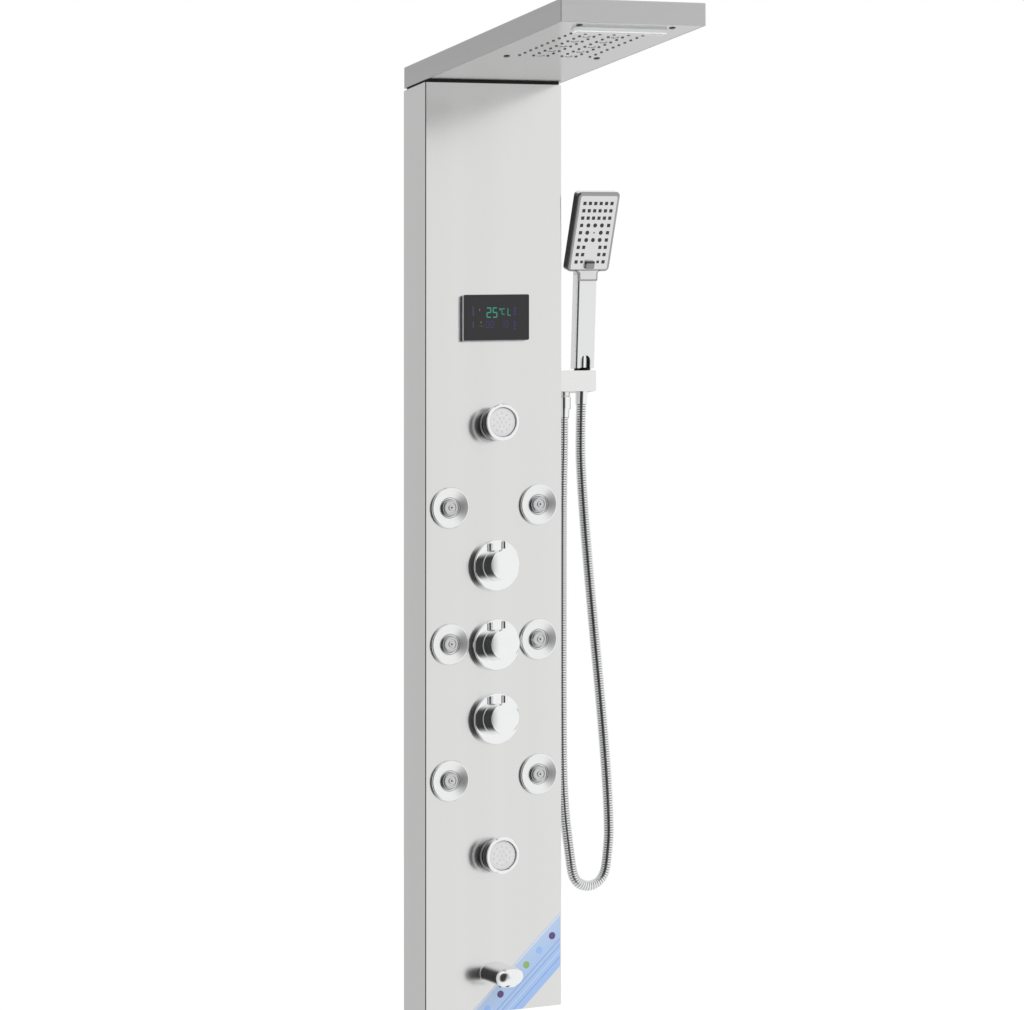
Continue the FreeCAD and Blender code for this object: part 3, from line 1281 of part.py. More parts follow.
TAIL_END = "column_depth - tail_length - tube_back"
SPOUT_TAIL_END = "column_depth - pipe_tail_length - tube_back"
TO_RIGHT = Rotation(Vector(0, 1, 0), 90)
END = "stub_size/2 + 1"
sides = []
for side, turn in (("-", TO_LEFT), ("", TO_RIGHT)):
    feed = (side + "manifold_wide/2", "jet_across/2 - manifold_wide/2", "feed_level", turn)
    stubs = [(level, TAIL_END) for level in ("jet_low", "jet_middle", "jet_high")]
    low, high = "jet_low - " + END, "jet_high + " + END
    sides.append(supply_tube("jet_tube" + side, side + "jet_across/2", low, high, stubs, (feed,)))
pair = doc.addObject("Part::Compound", "jet_tubes")
pair.Links = sides
node("jet_supply_tubes", pair)
upper = supply_tube("upper_tube", "0", HIGH, "spray_high + " + END, [("spray_high", TAIL_END)])
node("upper_spray_tube", upper)
stubs = [("spray_low", TAIL_END), ("spout_level", SPOUT_TAIL_END)]
lower = supply_tube("lower_tube", "0", "spout_level - " + END, LOW, stubs)
node("lower_supply_tube", lower)


def path(points, radius=None):
    """Straight runs joined by tangent arcs. Without a radius each arc is as large as its two runs allow."""
    edges = []
    radii = []
    start = points[0]
    for before, corner, after in zip(points, points[1:], points[2:]):
        into = corner - before
        out = after - corner
        turn = into.getAngle(out)
        bend = radius or 0.45 * min(into.Length, out.Length) / math.tan(turn / 2)
        radii.append(bend)
        cut = bend * math.tan(turn / 2)
        into.normalize()
        out.normalize()
        first = corner - into * cut
        last = corner + out * cut
        inward = (out - into).normalize()
        middle = corner + inward * (bend / math.cos(turn / 2) - bend)
        edges.append(Part.LineSegment(start, first).toShape())
        edges.append(Part.Arc(first, middle, last).toShape())
        start = last
    edges.append(Part.LineSegment(start, points[-1]).toShape())
    return Part.Wire(edges), radii


def swept(wire, radius):
    """A solid tube along a path."""
    start = wire.Edges[0]
    ring = Part.Circle(start.valueAt(start.FirstParameter), start.tangentAt(start.FirstParameter), radius)
    return wire.makePipeShell([Part.Wire(ring.toShape())], True, True)


def bent_tube(label, corners, size):
    wire, radii = path([Vector(value(x), value(y), value(z)) for x, y, z in corners], value("bend_radius"))
    made = doc.addObject("Part::Feature", label)
    made.Shape = swept(wire, value(size) / 2)
    return node(label, made)


RISE = HEAD + " + riser_level"
CHAMBER_BACK = "(rain_margin - %s)" % RAIN_FIRST
rain_way = (
    ("-riser_port", "-riser_back", HIGH),
    ("-riser_port", "-riser_back", "riser_turn"),
    ("-riser_out", "-riser_back", "riser_turn"),
    ("-riser_out", "-riser_back", RISE),
    ("-riser_out", "%s + 80" % CHAMBER_BACK, RISE),
    ("-riser_out/2", "%s + 80 - riser_out/2" % CHAMBER_BACK, RISE),
    ("-riser_out/2", CHAMBER_BACK, RISE),
)
bent_tube("rain_riser", rain_way, "tube_size")
fall_way = (
    ("riser_port", "-riser_back", HIGH),
    ("riser_port", "-riser_back", "riser_turn"),
    ("riser_out", "-riser_back", "riser_turn"),
    ("riser_out", "-riser_back", RISE),
    ("riser_out", "fall_chamber_deep/2 + " + FALL, RISE),
)
bent_tube("waterfall_riser", fall_way, "tube_size")
outlet_way = (
    ("manifold_wide/2", "-holder_reach", "outlet_feed"),
    ("outlet_rise", "-holder_reach", "outlet_feed"),
    ("outlet_rise", "-holder_reach", "holder_level"),
    (SIDE + " - pipe_tail_length", "-holder_reach", "holder_level"),
)
bent_tube("hand_shower_tube", outlet_way, "outlet_tube")

generator = turned(
    "generator",
    (
        ("tube_size/2 + fit", "-generator_long/2"),
        ("generator_size/2 - 3", "-generator_long/2"),
        ("generator_size/2 - 3", "4 - generator_long/2"),
        ("generator_size/2", "7 - generator_long/2"),
        ("generator_size/2", "generator_long/2 - 7"),
        ("generator_size/2 - 3", "generator_long/2 - 4"),
        ("generator_size/2 - 3", "generator_long/2"),
        ("tube_size/2 + fit", "generator_long/2"),
    ),
)
node("turbine_generator", place(generator, "-riser_out", "-riser_back", "generator_level"))

# ---- wall brackets -----------------------------------------------------------------------------------------

upper_bracket = body("hanger")
LEDGE = "(column_height - sheet_thick)"
angle_iron = sketch(upper_bracket, "YZ_Plane", ("0", "0", "-bracket_wide/2"))
outline(
    angle_iron,
    (
        ("0", LEDGE + " - bracket_leg"),
        ("0", LEDGE),
        ("-bracket_ledge", LEDGE),
        ("-bracket_ledge", LEDGE + " - bracket_thick"),
        ("-bracket_thick", LEDGE + " - bracket_thick"),
        ("-bracket_thick", LEDGE + " - bracket_leg"),
    ),
)
pad(upper_bracket, angle_iron, "bracket_wide")
screw_holes = sketch(upper_bracket, "XZ_Plane", ("0", "0", "bracket_thick"))
for side in ("-", ""):
    circle(screw_holes, side + "bracket_pitch/2", LEDGE + " - bracket_leg/2", "bracket_screw/2")
pocket(upper_bracket, screw_holes)
node("wall_bracket_upper", upper_bracket)

lower_bracket = body("keeper")
RETURN = "(column_width/2 - return_width)"
BEHIND = "(-sheet_thick - fit)"
hooks = sketch(lower_bracket, "XY_Plane", ("0", "0", "bracket_low - bracket_leg/2"))
outline(
    hooks,
    (
        ("-%s + fit" % RETURN, "0"),
        ("-%s + fit" % RETURN, BEHIND),
        ("-%s - return_width*0.7" % RETURN, BEHIND),
        ("-%s - return_width*0.7" % RETURN, BEHIND + " - bracket_thick"),
        ("-%s + 4" % RETURN, BEHIND + " - bracket_thick"),
        ("-%s + 4" % RETURN, "-bracket_thick"),
        ("%s - 4" % RETURN, "-bracket_thick"),
        ("%s - 4" % RETURN, BEHIND + " - bracket_thick"),
        ("%s + return_width*0.7" % RETURN, BEHIND + " - bracket_thick"),
        ("%s + return_width*0.7" % RETURN, BEHIND),
        ("%s - fit" % RETURN, BEHIND),
        ("%s - fit" % RETURN, "0"),
    ),
)
pad(lower_bracket, hooks, "bracket_leg")
screw_holes = sketch(lower_bracket, "XZ_Plane", ("0", "0", "bracket_thick"))
for side in ("-", ""):
    circle(screw_holes, side + "bracket_pitch/2", "bracket_low", "bracket_screw/2")
pocket(lower_bracket, screw_holes)
node("wall_bracket_lower", lower_bracket)

# ---- shower hose: from the ferrule under its nut, down, round and up to the cone in the cradle ----------------

HOSE_WAY = (
    (118.0, -34.0, 750.0),
    (115.8, -34.0, 670.0),
    (115.8, -34.0, 350.0),
    (118.4, -34.0, 262.0),
    (128.3, -34.0, 191.0),
    (132.2, -34.0, 166.4),
    (142.0, -34.0, 155.0),
    (156.4, -34.0, 150.7),
    (170.8, -34.0, 154.8),
    (180.8, -34.0, 166.0),
    (184.5, -34.0, 190.0),
    (188.0, -34.0, 228.0),
    (180.2, -34.0, 345.0),
    (155.5, -33.5, 580.0),
    (145.8, -30.5, 715.0),
)
hose_start = Vector(value(OUTLET_X), -value("holder_reach"), value(NUT_TOP + " - nut_long - ferrule_long"))
cone_foot = Vector(value(AXIS), -value("holder_reach"), value(HOLDER_TOP))
axis = Rotation(Vector(1, 0, 0), value("lean")).multVec(Vector(0, 0, -1))
hose_end = cone_foot + axis * value("holder_thick + cone_tail")
square_run = hose_end + axis * 30
way = [hose_start] + [Vector(*point) for point in HOSE_WAY] + [square_run, hose_end]
hose_path, hose_radii = path(way)

hose = doc.addObject("Part::Feature", "hose")
hose.Shape = swept(hose_path, value("hose_size/2")).cut(swept(hose_path, value("hose_bore/2")))
node("shower_hose", hose)
print("hose: length %.0f, arc radii" % hose_path.Length, [round(radius) for radius in hose_radii])

# ---- checks, then one file for each piece -------------------------------------------------------------------

doc.recompute()
failed = [thing.Name for thing in doc.Objects if {"Invalid", "Error"} & set(thing.State)]
if failed:
    raise SystemExit("not built: " + ", ".join(failed))
os.makedirs("parts", exist_ok=True)
for label, thing in nodes.items():
    shape = thing.Shape
    if shape.isNull() or not shape.isValid() or not shape.Solids:
        raise SystemExit(label + " has no sound solid")
for label, thing in nodes.items():
    thing.Shape.exportStep("parts/%s.step" % label)
print(len(nodes), "pieces")
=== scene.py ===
"""Shower panel column: brushed steel casing and flat rain head, chrome valves, body jets and swivel sprays,
a lit display, a tub spout, and a hand shower on a ribbed metal hose.

Metres. +X to the right of the panel, +Y into the wall, +Z up. The origin is on the wall at the column's foot.
"""

import math

import bmesh
import bpy
import numpy as np
from mathutils import Matrix, Vector


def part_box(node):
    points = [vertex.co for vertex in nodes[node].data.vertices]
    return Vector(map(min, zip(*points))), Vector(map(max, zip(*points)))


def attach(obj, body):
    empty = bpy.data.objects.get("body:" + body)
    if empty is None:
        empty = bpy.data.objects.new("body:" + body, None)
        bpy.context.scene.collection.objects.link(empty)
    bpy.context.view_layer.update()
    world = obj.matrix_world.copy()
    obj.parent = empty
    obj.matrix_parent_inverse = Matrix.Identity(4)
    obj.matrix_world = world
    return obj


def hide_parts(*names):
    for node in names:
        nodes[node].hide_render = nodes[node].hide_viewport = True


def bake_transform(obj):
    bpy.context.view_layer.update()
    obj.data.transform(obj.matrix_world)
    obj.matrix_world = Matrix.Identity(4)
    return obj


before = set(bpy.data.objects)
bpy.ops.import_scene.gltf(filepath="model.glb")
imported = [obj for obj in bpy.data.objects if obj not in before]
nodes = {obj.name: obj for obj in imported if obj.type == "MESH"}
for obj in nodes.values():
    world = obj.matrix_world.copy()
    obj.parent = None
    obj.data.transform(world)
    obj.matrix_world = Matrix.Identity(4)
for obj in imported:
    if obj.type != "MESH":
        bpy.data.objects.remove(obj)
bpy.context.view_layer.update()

# ---- camera --------------------------------------------------------------------------------------
# A long lens stands 4.6 m off, to the left of the panel and level with its valves, and looks at it at 26
# degrees. The picture's uprights are parallel and its level lines are slanted a little, as print-shop views
# are, so a slant on an empty parent leans the camera's own axes by that much.

PICTURE_WIDE, PICTURE_TALL = 1024, 1010
LENS_PIXELS = 3439.7
YAW = math.radians(26.432)
CAMERA_PLACE = Vector((-1.9866, -4.1144, 0.4461))
HORIZON_ROW = 671.3
ROW_SLANT = -0.06356
SENSOR_WIDE = 36

right = Vector((math.cos(YAW), -math.sin(YAW), 0))
ahead = Vector((math.sin(YAW), math.cos(YAW), 0))
up = Vector((0, 0, 1))
tip = (HORIZON_ROW - PICTURE_TALL / 2) / LENS_PIXELS
slant = Matrix.Identity(4)
for axis in range(3):
    slant[2][axis] += ROW_SLANT * right[axis] + tip * ahead[axis]
camera = bpy.data.objects.new("camera", bpy.data.cameras.new("camera"))
bpy.context.scene.collection.objects.link(camera)
bpy.context.scene.camera = camera
camera.data.sensor_width = SENSOR_WIDE
camera.data.lens = LENS_PIXELS / PICTURE_WIDE * SENSOR_WIDE
camera.data.clip_end = 60
drop = ROW_SLANT * right.dot(CAMERA_PLACE) + tip * ahead.dot(CAMERA_PLACE)
turned = Matrix((right, up, -ahead)).transposed().to_4x4()
camera.matrix_world = Matrix.Translation(CAMERA_PLACE - drop * up) @ turned
camera_slant = bpy.data.objects.new("camera_slant", None)
bpy.context.scene.collection.objects.link(camera_slant)
camera.parent = camera_slant
camera.matrix_parent_inverse = slant

# ---- light, floor and surroundings ---------------------------------------------------------------
# A white room lights the panel evenly. Where polished metal looks back past the camera the room is dark, as a
# studio is. It is dimmer at the left behind the panel, and a narrow dark flag stands straight behind, so that
# bright metal gets thin dark outlines. A white floor keeps the shadow.

ROOM_LIGHT = 0.92
# A patch of the room: its direction, the cosines where it starts and is full, and the light it leaves.
PAST_CAMERA = ((-0.49, -0.872, 0.0), 0.69, 0.95, 0.05)
PAST_CAMERA_TALL = 1.7
LEFT_BEHIND = ((-0.70, 0.70, 0.0), 0.1, 0.9, 0.66)
DARK_FLAG = ((0.444, 0.892, 0.087), 0.970, 0.992, 0.12)

world = bpy.data.worlds.new("room")
bpy.context.scene.world = world
world.use_nodes = True
wires = world.node_tree
wires.nodes.clear()
room_out = wires.nodes.new("ShaderNodeOutputWorld")


def room_node(kind, **inputs):
    """A node of the room's tree with its inputs set or joined, by name or, as i0, i1 and so on, by number."""
    made = wires.nodes.new(kind)
    for name, what in inputs.items():
        socket = made.inputs[int(name[1:])] if name[0] == "i" and name[1:].isdigit() else made.inputs[name]
        if isinstance(what, bpy.types.NodeSocket):
            wires.links.new(what, socket)
        else:
            socket.default_value = what
    return made


def patch_of_room(direction, starts, ends, level, tall=1.0):
    """How bright the room is about one direction: 1 away from it, level towards it, by the angle's cosine.
    The patch is drawn out upright by tall."""
    squeezed = room_node("ShaderNodeVectorMath", i0=looking, i1=(1, 1, 1 / tall))
    squeezed.operation = "MULTIPLY"
    unit = room_node("ShaderNodeVectorMath", i0=squeezed.outputs["Vector"])
    unit.operation = "NORMALIZE"
    towards = room_node("ShaderNodeVectorMath", i0=unit.outputs["Vector"], i1=direction)
    towards.operation = "DOT_PRODUCT"
    patch = room_node("ShaderNodeMapRange", Value=towards.outputs["Value"])
    patch.interpolation_type = "SMOOTHSTEP"
    for name, size in (("From Min", starts), ("From Max", ends), ("To Min", 1.0), ("To Max", level)):
        patch.inputs[name].default_value = size
    return patch.outputs["Result"]


looking = room_node("ShaderNodeTexCoord").outputs["Generated"]
seen = patch_of_room(*PAST_CAMERA, tall=PAST_CAMERA_TALL)
for patch in (LEFT_BEHIND, DARK_FLAG):
    both = room_node("ShaderNodeMath", i0=seen, i1=patch_of_room(*patch))
    both.operation = "MULTIPLY"
    seen = both.outputs["Value"]
path = room_node("ShaderNodeLightPath")
mirrored, behind, light = [
    room_node("ShaderNodeBackground", Color=(1, 1, 1, 1), Strength=level) for level in (seen, 1.0, ROOM_LIGHT)
]
shown = light
for ray, background in (
    ("Is Glossy Ray", mirrored),
    ("Is Transmission Ray", behind),
    ("Is Camera Ray", behind),
):
    others, chosen = shown.outputs[0], background.outputs[0]
    shown = room_node("ShaderNodeMixShader", i0=path.outputs[ray], i1=others, i2=chosen)
wires.links.new(shown.outputs[0], room_out.inputs["Surface"])
bpy.context.scene.view_settings.view_transform = "Standard"

KEY_PLACE, KEY_AIM = Vector((1.6, -2.6, 2.6)), Vector((0, 0, 0.7))
key = bpy.data.objects.new("key_light", bpy.data.lights.new("key_light", "AREA"))
key.data.size = 1.6
key.data.energy = 26
key.location = KEY_PLACE
key.rotation_euler = (KEY_AIM - KEY_PLACE).to_track_quat("-Z", "Y").to_euler()
bpy.context.scene.collection.objects.link(key)
key.visible_glossy = False

FLOOR_LEVEL, FLOOR_HALF = -0.30, 9.0
floor_mesh = bpy.data.meshes.new("floor")
floor_corners = FLOOR_HALF * np.array([(-1, -1), (1, -1), (1, 1), (-1, 1)])
floor_mesh.from_pydata(np.c_[floor_corners, np.full(4, FLOOR_LEVEL)].tolist(), [], [(0, 1, 2, 3)])
floor = bpy.data.objects.new("floor", floor_mesh)
bpy.context.scene.collection.objects.link(floor)
floor.visible_glossy = False
floor_paint = bpy.data.materials.new("floor_paint")
floor_paint.use_nodes = True
floor_shader = floor_paint.node_tree.nodes["Principled BSDF"]
floor_shader.inputs["Base Color"].default_value = (0.88, 0.88, 0.88, 1)
floor_shader.inputs["Roughness"].default_value = 0.9
floor_shader.inputs["Emission Color"].default_value = (1, 1, 1, 1)
floor_shader.inputs["Emission Strength"].default_value = 0.22
floor_mesh.materials.append(floor_paint)

# ---- column casing -------------------------------------------------------------------------------
# One folded sheet of stainless steel, brushed from top to bottom, with rear returns that lie on the wall. The
# brushing shows as fine upright hairs and a few broad, faint bands.


def new_group(name, ins, outs):
    """An empty shader node group with its named inputs and outputs."""
    group = bpy.data.node_groups.new(name, "ShaderNodeTree")
    for way, sockets in (("INPUT", ins), ("OUTPUT", outs)):
        for label, kind in sockets:
            group.interface.new_socket(label, in_out=way, socket_type="NodeSocket" + kind)
    return group, group.nodes.new("NodeGroupInput"), group.nodes.new("NodeGroupOutput")


def placed(tree, group, **inputs):
    """Puts a group in a material's tree with its inputs set or joined, an underscore standing for a space."""
    made = tree.nodes.new("ShaderNodeGroup")
    made.node_tree = group
    for name, what in inputs.items():
        socket = made.inputs[name.replace("_", " ")]
        if isinstance(what, bpy.types.NodeSocket):
            tree.links.new(what, socket)
        else:
            socket.default_value = what
    return made.outputs


def grain_group():
    """Hairs drawn along one way: noise in coordinates that are short along the brushing and long across it.
    Shade mixes fine hairs with broad bands, Height is the fine hairs alone."""
    ins = (("Coordinates", "Vector"), ("Hairs", "Vector"), ("Bands", "Vector"), ("Band share", "Float"))
    group, inside, outside = new_group("brushed grain", ins, (("Shade", "Float"), ("Height", "Float")))
    noises = []
    for scale, detail in (("Hairs", 3.0), ("Bands", 2.0)):
        stretched = group.nodes.new("ShaderNodeVectorMath")
        stretched.operation = "MULTIPLY"
        group.links.new(inside.outputs["Coordinates"], stretched.inputs[0])
        group.links.new(inside.outputs[scale], stretched.inputs[1])
        noise = group.nodes.new("ShaderNodeTexNoise")
        noise.inputs["Scale"].default_value = 1.0
        noise.inputs["Detail"].default_value = detail
        group.links.new(stretched.outputs[0], noise.inputs["Vector"])
        noises.append(noise)
    shade = group.nodes.new("ShaderNodeMix")
    group.links.new(inside.outputs["Band share"], shade.inputs["Factor"])
    group.links.new(noises[0].outputs["Fac"], shade.inputs["A"])
    group.links.new(noises[1].outputs["Fac"], shade.inputs["B"])
    group.links.new(shade.outputs["Result"], outside.inputs["Shade"])
    group.links.new(noises[0].outputs["Fac"], outside.inputs["Height"])
    return group


def surface(name, metallic, roughness):
    """A material with its shader, its tree and its Object coordinates."""
    made = bpy.data.materials.new(name)
    made.use_nodes = True
    shader = made.node_tree.nodes["Principled BSDF"]
    shader.inputs["Metallic"].default_value = metallic
    shader.inputs["Roughness"].default_value = roughness
    place = made.node_tree.nodes.new("ShaderNodeTexCoord").outputs["Object"]
    return made, shader, made.node_tree, place


def between(tree, factor, low, high):
    """A colour that runs from low to high with the factor. Each end is a colour or a socket."""
    ramp = tree.nodes.new("ShaderNodeMix")
    ramp.data_type = "RGBA"
    colours = [socket for socket in ramp.inputs if socket.type == "RGBA"]
    for socket, what in zip(colours, (low, high)):
        if isinstance(what, bpy.types.NodeSocket):
            tree.links.new(what, socket)
        else:
            socket.default_value = tuple(what) + (1,)
    tree.links.new(factor, ramp.inputs["Factor"])
    return next(socket for socket in ramp.outputs if socket.type == "RGBA")


def spread(tree, factor, low, high, least=0.3, most=0.7):
    """A number that runs from low to high as the factor runs from least to most."""
    ranged = tree.nodes.new("ShaderNodeMapRange")
    for label, size in (("From Min", least), ("From Max", most), ("To Min", low), ("To Max", high)):
        ranged.inputs[label].default_value = size
    tree.links.new(factor, ranged.inputs["Value"])
    return ranged.outputs["Result"]


def raised(tree, shader, height, strength, distance):
    """Feeds a height to the shader's normal through a bump."""
    bump = tree.nodes.new("ShaderNodeBump")
    bump.inputs["Strength"].default_value = strength
    bump.inputs["Distance"].default_value = distance
    tree.links.new(height, bump.inputs["Height"])
    tree.links.new(bump.outputs["Normal"], shader.inputs["Normal"])


grain = grain_group()


def brushed_steel(name, pale, deep, hairs, bands, roughness=(0.24, 0.34), share=0.6, strength=0.12):
    """Stainless steel brushed one way, from its two shades and the grain's scales along X, Y and Z."""
    made, shader, tree, place = surface(name, 1.0, roughness[0])
    hair = placed(tree, grain, Coordinates=place, Hairs=hairs, Bands=bands, Band_share=share)
    shade = spread(tree, hair["Shade"], 0.0, 1.0)
    tree.links.new(between(tree, shade, deep, pale), shader.inputs["Base Color"])
    tree.links.new(spread(tree, hair["Height"], *roughness), shader.inputs["Roughness"])
    raised(tree, shader, hair["Height"], strength, distance=0.0002)
    return made


def dress(material, *names):
    """Gives CAD nodes their material and smooth faces."""
    for name in names:
        mesh = nodes[name].data
        mesh.materials.clear()
        mesh.materials.append(material)
        mesh.polygons.foreach_set("use_smooth", np.ones(len(mesh.polygons), bool))


casing_steel = brushed_steel(
    "casing_steel",
    pale=(0.74, 0.74, 0.735),
    deep=(0.71, 0.71, 0.705),
    hairs=(1400, 1400, 5),
    bands=(14, 14, 0.3),
    roughness=(0.17, 0.22),
    share=0.85,
    strength=0.008,
)
dress(casing_steel, "column_casing")

# ---- printed film on the casing's lower corner ---------------------------------------------------
# A pale blue film, a tenth of a millimetre thick, runs slantwise over the front's lower right corner and is
# cut off flush with the edges. It carries plain stripes and plain round dots.

CASING_LOW, CASING_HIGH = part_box("column_casing")
FILM_RIGHT = CASING_HIGH.x - 0.0026
FILM_FOOT = 0.0004
FILM_RISE = 0.92
FILM_TOP = 0.1225
FILM_TALL = 0.071
FILM_THICK = 0.0001
FILM_FRONT = (0.0, CASING_LOW.y - 0.00001, 0.0)
FRONT_WAYS = ((1, 0, 0), (0, 0, 1), (0, -1, 0))
# Each stripe's drop below the film's upper edge, and its width.
STRIPES = ((0.0008, 0.0030), (0.034, 0.0012), (0.042, 0.0012), (0.050, 0.0012), (0.058, 0.0012))
SPOT_COUNT, SPOT_FIRST, SPOT_PITCH, SPOT_DROP, SPOT_RADIUS = 6, 0.012, 0.019, 0.019, 0.0048
INK_FOOT, STRIPE_TOP, SPOT_TOP = 0.00009, 0.00013, 0.00014


def standing(name, outlines, steps, origin, across, upward, out, materials, body="panel", slot=None):
    """Low plates that stand on a plane. A point (u, v) of a closed outline becomes origin + u * across +
    v * upward + height * out, and each step (height, share) draws the outline again, shrunk to that share of
    its size about its middle. Quads join the steps, and the first and last are closed."""
    points, faces, which = [], [], []
    across, upward, out = (np.array(way, float) for way in (across, upward, out))
    total = 0
    for number, drawn in enumerate(outlines):
        flat = np.array(drawn, float)
        middle = (flat.min(axis=0) + flat.max(axis=0)) / 2
        count = len(flat)
        for height, share in steps:
            ring = middle + share * (flat - middle)
            points.append(np.array(origin) + ring[:, :1] * across + ring[:, 1:] * upward + height * out)
        a = total + np.arange((len(steps) - 1) * count).reshape(-1, count)
        b = np.roll(a, -1, axis=1)
        faces += np.stack([a, b, b + count, a + count], axis=-1).reshape(-1, 4).tolist()
        last = total + (len(steps) - 1) * count
        faces += [list(range(total, total + count))[::-1], list(range(last, last + count))]
        which += [number % len(materials)] * ((len(steps) - 1) * count + 2)
        total += len(steps) * count
    mesh = bpy.data.meshes.new(name)
    mesh.from_pydata(np.concatenate(points).tolist(), [], faces)
    for material in materials:
        mesh.materials.append(material)
    mesh.polygons.foreach_set("material_index", np.array(which, dtype=np.int32))
    outwards(mesh)
    made = bpy.data.objects.new(name, mesh)
    bpy.context.scene.collection.objects.link(made)
    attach(made, body)
    return made


def outwards(mesh):
    """Turns a closed mesh's faces to point out of it."""
    work = bmesh.new()
    work.from_mesh(mesh)
    bmesh.ops.recalc_face_normals(work, faces=work.faces)
    work.to_mesh(mesh)
    work.free()


def disc(u, v, radius, corners=32):
    """The points of a circle round (u, v)."""
    turn = np.linspace(0, 2 * np.pi, corners, endpoint=False)
    return np.stack([u + radius * np.cos(turn), v + radius * np.sin(turn)], axis=1)


def slanting(top, tall):
    """A stripe that rises to the right at the film's slant, cut at the film's right side and at its foot. Its
    top edge reaches the right side at the level top."""
    left_of = [FILM_RIGHT - (level - FILM_FOOT) / FILM_RISE for level in (top, top - tall)]
    corners = [(FILM_RIGHT, top), (left_of[0], FILM_FOOT), (left_of[1], FILM_FOOT), (FILM_RIGHT, top - tall)]
    return np.array(corners)


def film_colour(name, pale, deep):
    """Printed film: two shades that run across the slant, under a smooth clear coat."""
    made, shader, tree, place = surface(name, 0.0, 0.35)
    across_film = tree.nodes.new("ShaderNodeVectorMath")
    across_film.operation = "DOT_PRODUCT"
    across_film.inputs[1].default_value = (FILM_RISE, 0, -1)
    tree.links.new(place, across_film.inputs[0])
    start = FILM_RIGHT * FILM_RISE - FILM_TOP
    along_print = spread(tree, across_film.outputs["Value"], 0.0, 1.0, start, start + FILM_TALL)
    tree.links.new(between(tree, along_print, pale, deep), shader.inputs["Base Color"])
    shader.inputs["Coat Weight"].default_value = 0.2
    return made


film_blue = film_colour("film_blue", (0.42, 0.54, 0.72), (0.30, 0.46, 0.78))
film_pale = film_colour("film_pale", (0.58, 0.66, 0.78), (0.50, 0.60, 0.80))
film_deep = film_colour("film_deep", (0.20, 0.30, 0.58), (0.17, 0.27, 0.55))
film_steps = ((0, 1), (FILM_THICK, 1))
standing("film", [slanting(FILM_TOP, FILM_TALL)], film_steps, FILM_FRONT, *FRONT_WAYS, [film_blue])
stripes = [slanting(FILM_TOP - down, tall) for down, tall in STRIPES]
stripe_steps, stripe_inks = ((INK_FOOT, 1), (STRIPE_TOP, 1)), [film_pale, film_deep, film_deep]
standing("film_stripes", stripes, stripe_steps, FILM_FRONT, *FRONT_WAYS, stripe_inks)
spot_inks = [
    film_colour("film_" + name, shade, tuple(0.9 * part for part in shade))
    for name, shade in (
        ("plum", (0.10, 0.05, 0.16)),
        ("sky", (0.28, 0.46, 0.85)),
        ("leaf", (0.26, 0.42, 0.14)),
        ("clay", (0.36, 0.16, 0.08)),
    )
]
spots_x = FILM_RIGHT - SPOT_FIRST - SPOT_PITCH * np.arange(SPOT_COUNT)
spots = [disc(x, FILM_TOP - SPOT_DROP - (FILM_RIGHT - x) * FILM_RISE, SPOT_RADIUS) for x in spots_x]
standing("film_dots", spots, ((INK_FOOT, 1), (SPOT_TOP, 1)), FILM_FRONT, *FRONT_WAYS, spot_inks)

# ---- rain head -----------------------------------------------------------------------------------
# A shallow steel box, brushed along its length, closed from below by a screwed face plate with silicone
# nozzles and clear lamp lenses. It stands on a black rubber pad that leaves a dark gap over the column.

# The head's steel is painted darker than the casing's steel: a painted shade on the head's front and sides.
head_steel_painted_shade = brushed_steel(
    "head_steel_painted_shade",
    pale=(0.57, 0.575, 0.57),
    deep=(0.53, 0.535, 0.53),
    hairs=(6, 6, 1400),
    bands=(1.2, 1.2, 30),
    roughness=(0.40, 0.46),
    share=0.8,
    strength=0.03,
)
dress(head_steel_painted_shade, "head_cover")
# The face plate's steel is painted darker still: a painted shade on the underside of the head.
plate_steel_painted_shade = brushed_steel(
    "plate_steel_painted_shade",
    pale=(0.50, 0.505, 0.50),
    deep=(0.47, 0.475, 0.47),
    hairs=(1400, 8, 1400),
    bands=(12, 0.8, 12),
    roughness=(0.16, 0.20),
    share=0.8,
    strength=0.02,
)
dress(plate_steel_painted_shade, "head_face_plate")


def speckle_group():
    """Two noises in the piece's own coordinates, each at its own scale: a broad Mottle and a fine Skin."""
    ins = (("Coordinates", "Vector"), ("Mottle scale", "Float"), ("Skin scale", "Float"))
    group, inside, outside = new_group("speckle", ins, (("Mottle", "Float"), ("Skin", "Float")))
    for label, detail in (("Mottle", 4.0), ("Skin", 2.0)):
        noise = group.nodes.new("ShaderNodeTexNoise")
        noise.inputs["Detail"].default_value = detail
        group.links.new(inside.outputs["Coordinates"], noise.inputs["Vector"])
        group.links.new(inside.outputs[label + " scale"], noise.inputs["Scale"])
        group.links.new(noise.outputs["Fac"], outside.inputs[label])
    return group


speckle = speckle_group()


def moulded(name, colour, roughness, grain_scale=900.0, strength=0.15, metallic=0.0):
    """Moulded rubber or plastic: an even colour with a slight mottle and a fine skin."""
    made, shader, tree, place = surface(name, metallic, roughness)
    skin = placed(tree, speckle, Coordinates=place, Mottle_scale=60.0, Skin_scale=grain_scale)
    low = tuple(0.92 * part for part in colour)
    tree.links.new(between(tree, skin["Mottle"], low, colour), shader.inputs["Base Color"])
    tree.links.new(spread(tree, skin["Mottle"], roughness * 0.9, roughness * 1.1), shader.inputs["Roughness"])
    raised(tree, shader, skin["Skin"], strength, distance=0.0001)
    return made


dress(moulded("pad_rubber", (0.02, 0.02, 0.02), 0.7), "head_gasket")
dress(moulded("nozzle_silicone", (0.16, 0.165, 0.165), 0.45), "rain_nozzles")
dress(moulded("chamber_plastic", (0.30, 0.31, 0.32), 0.5), "rain_chamber", "waterfall_chamber")


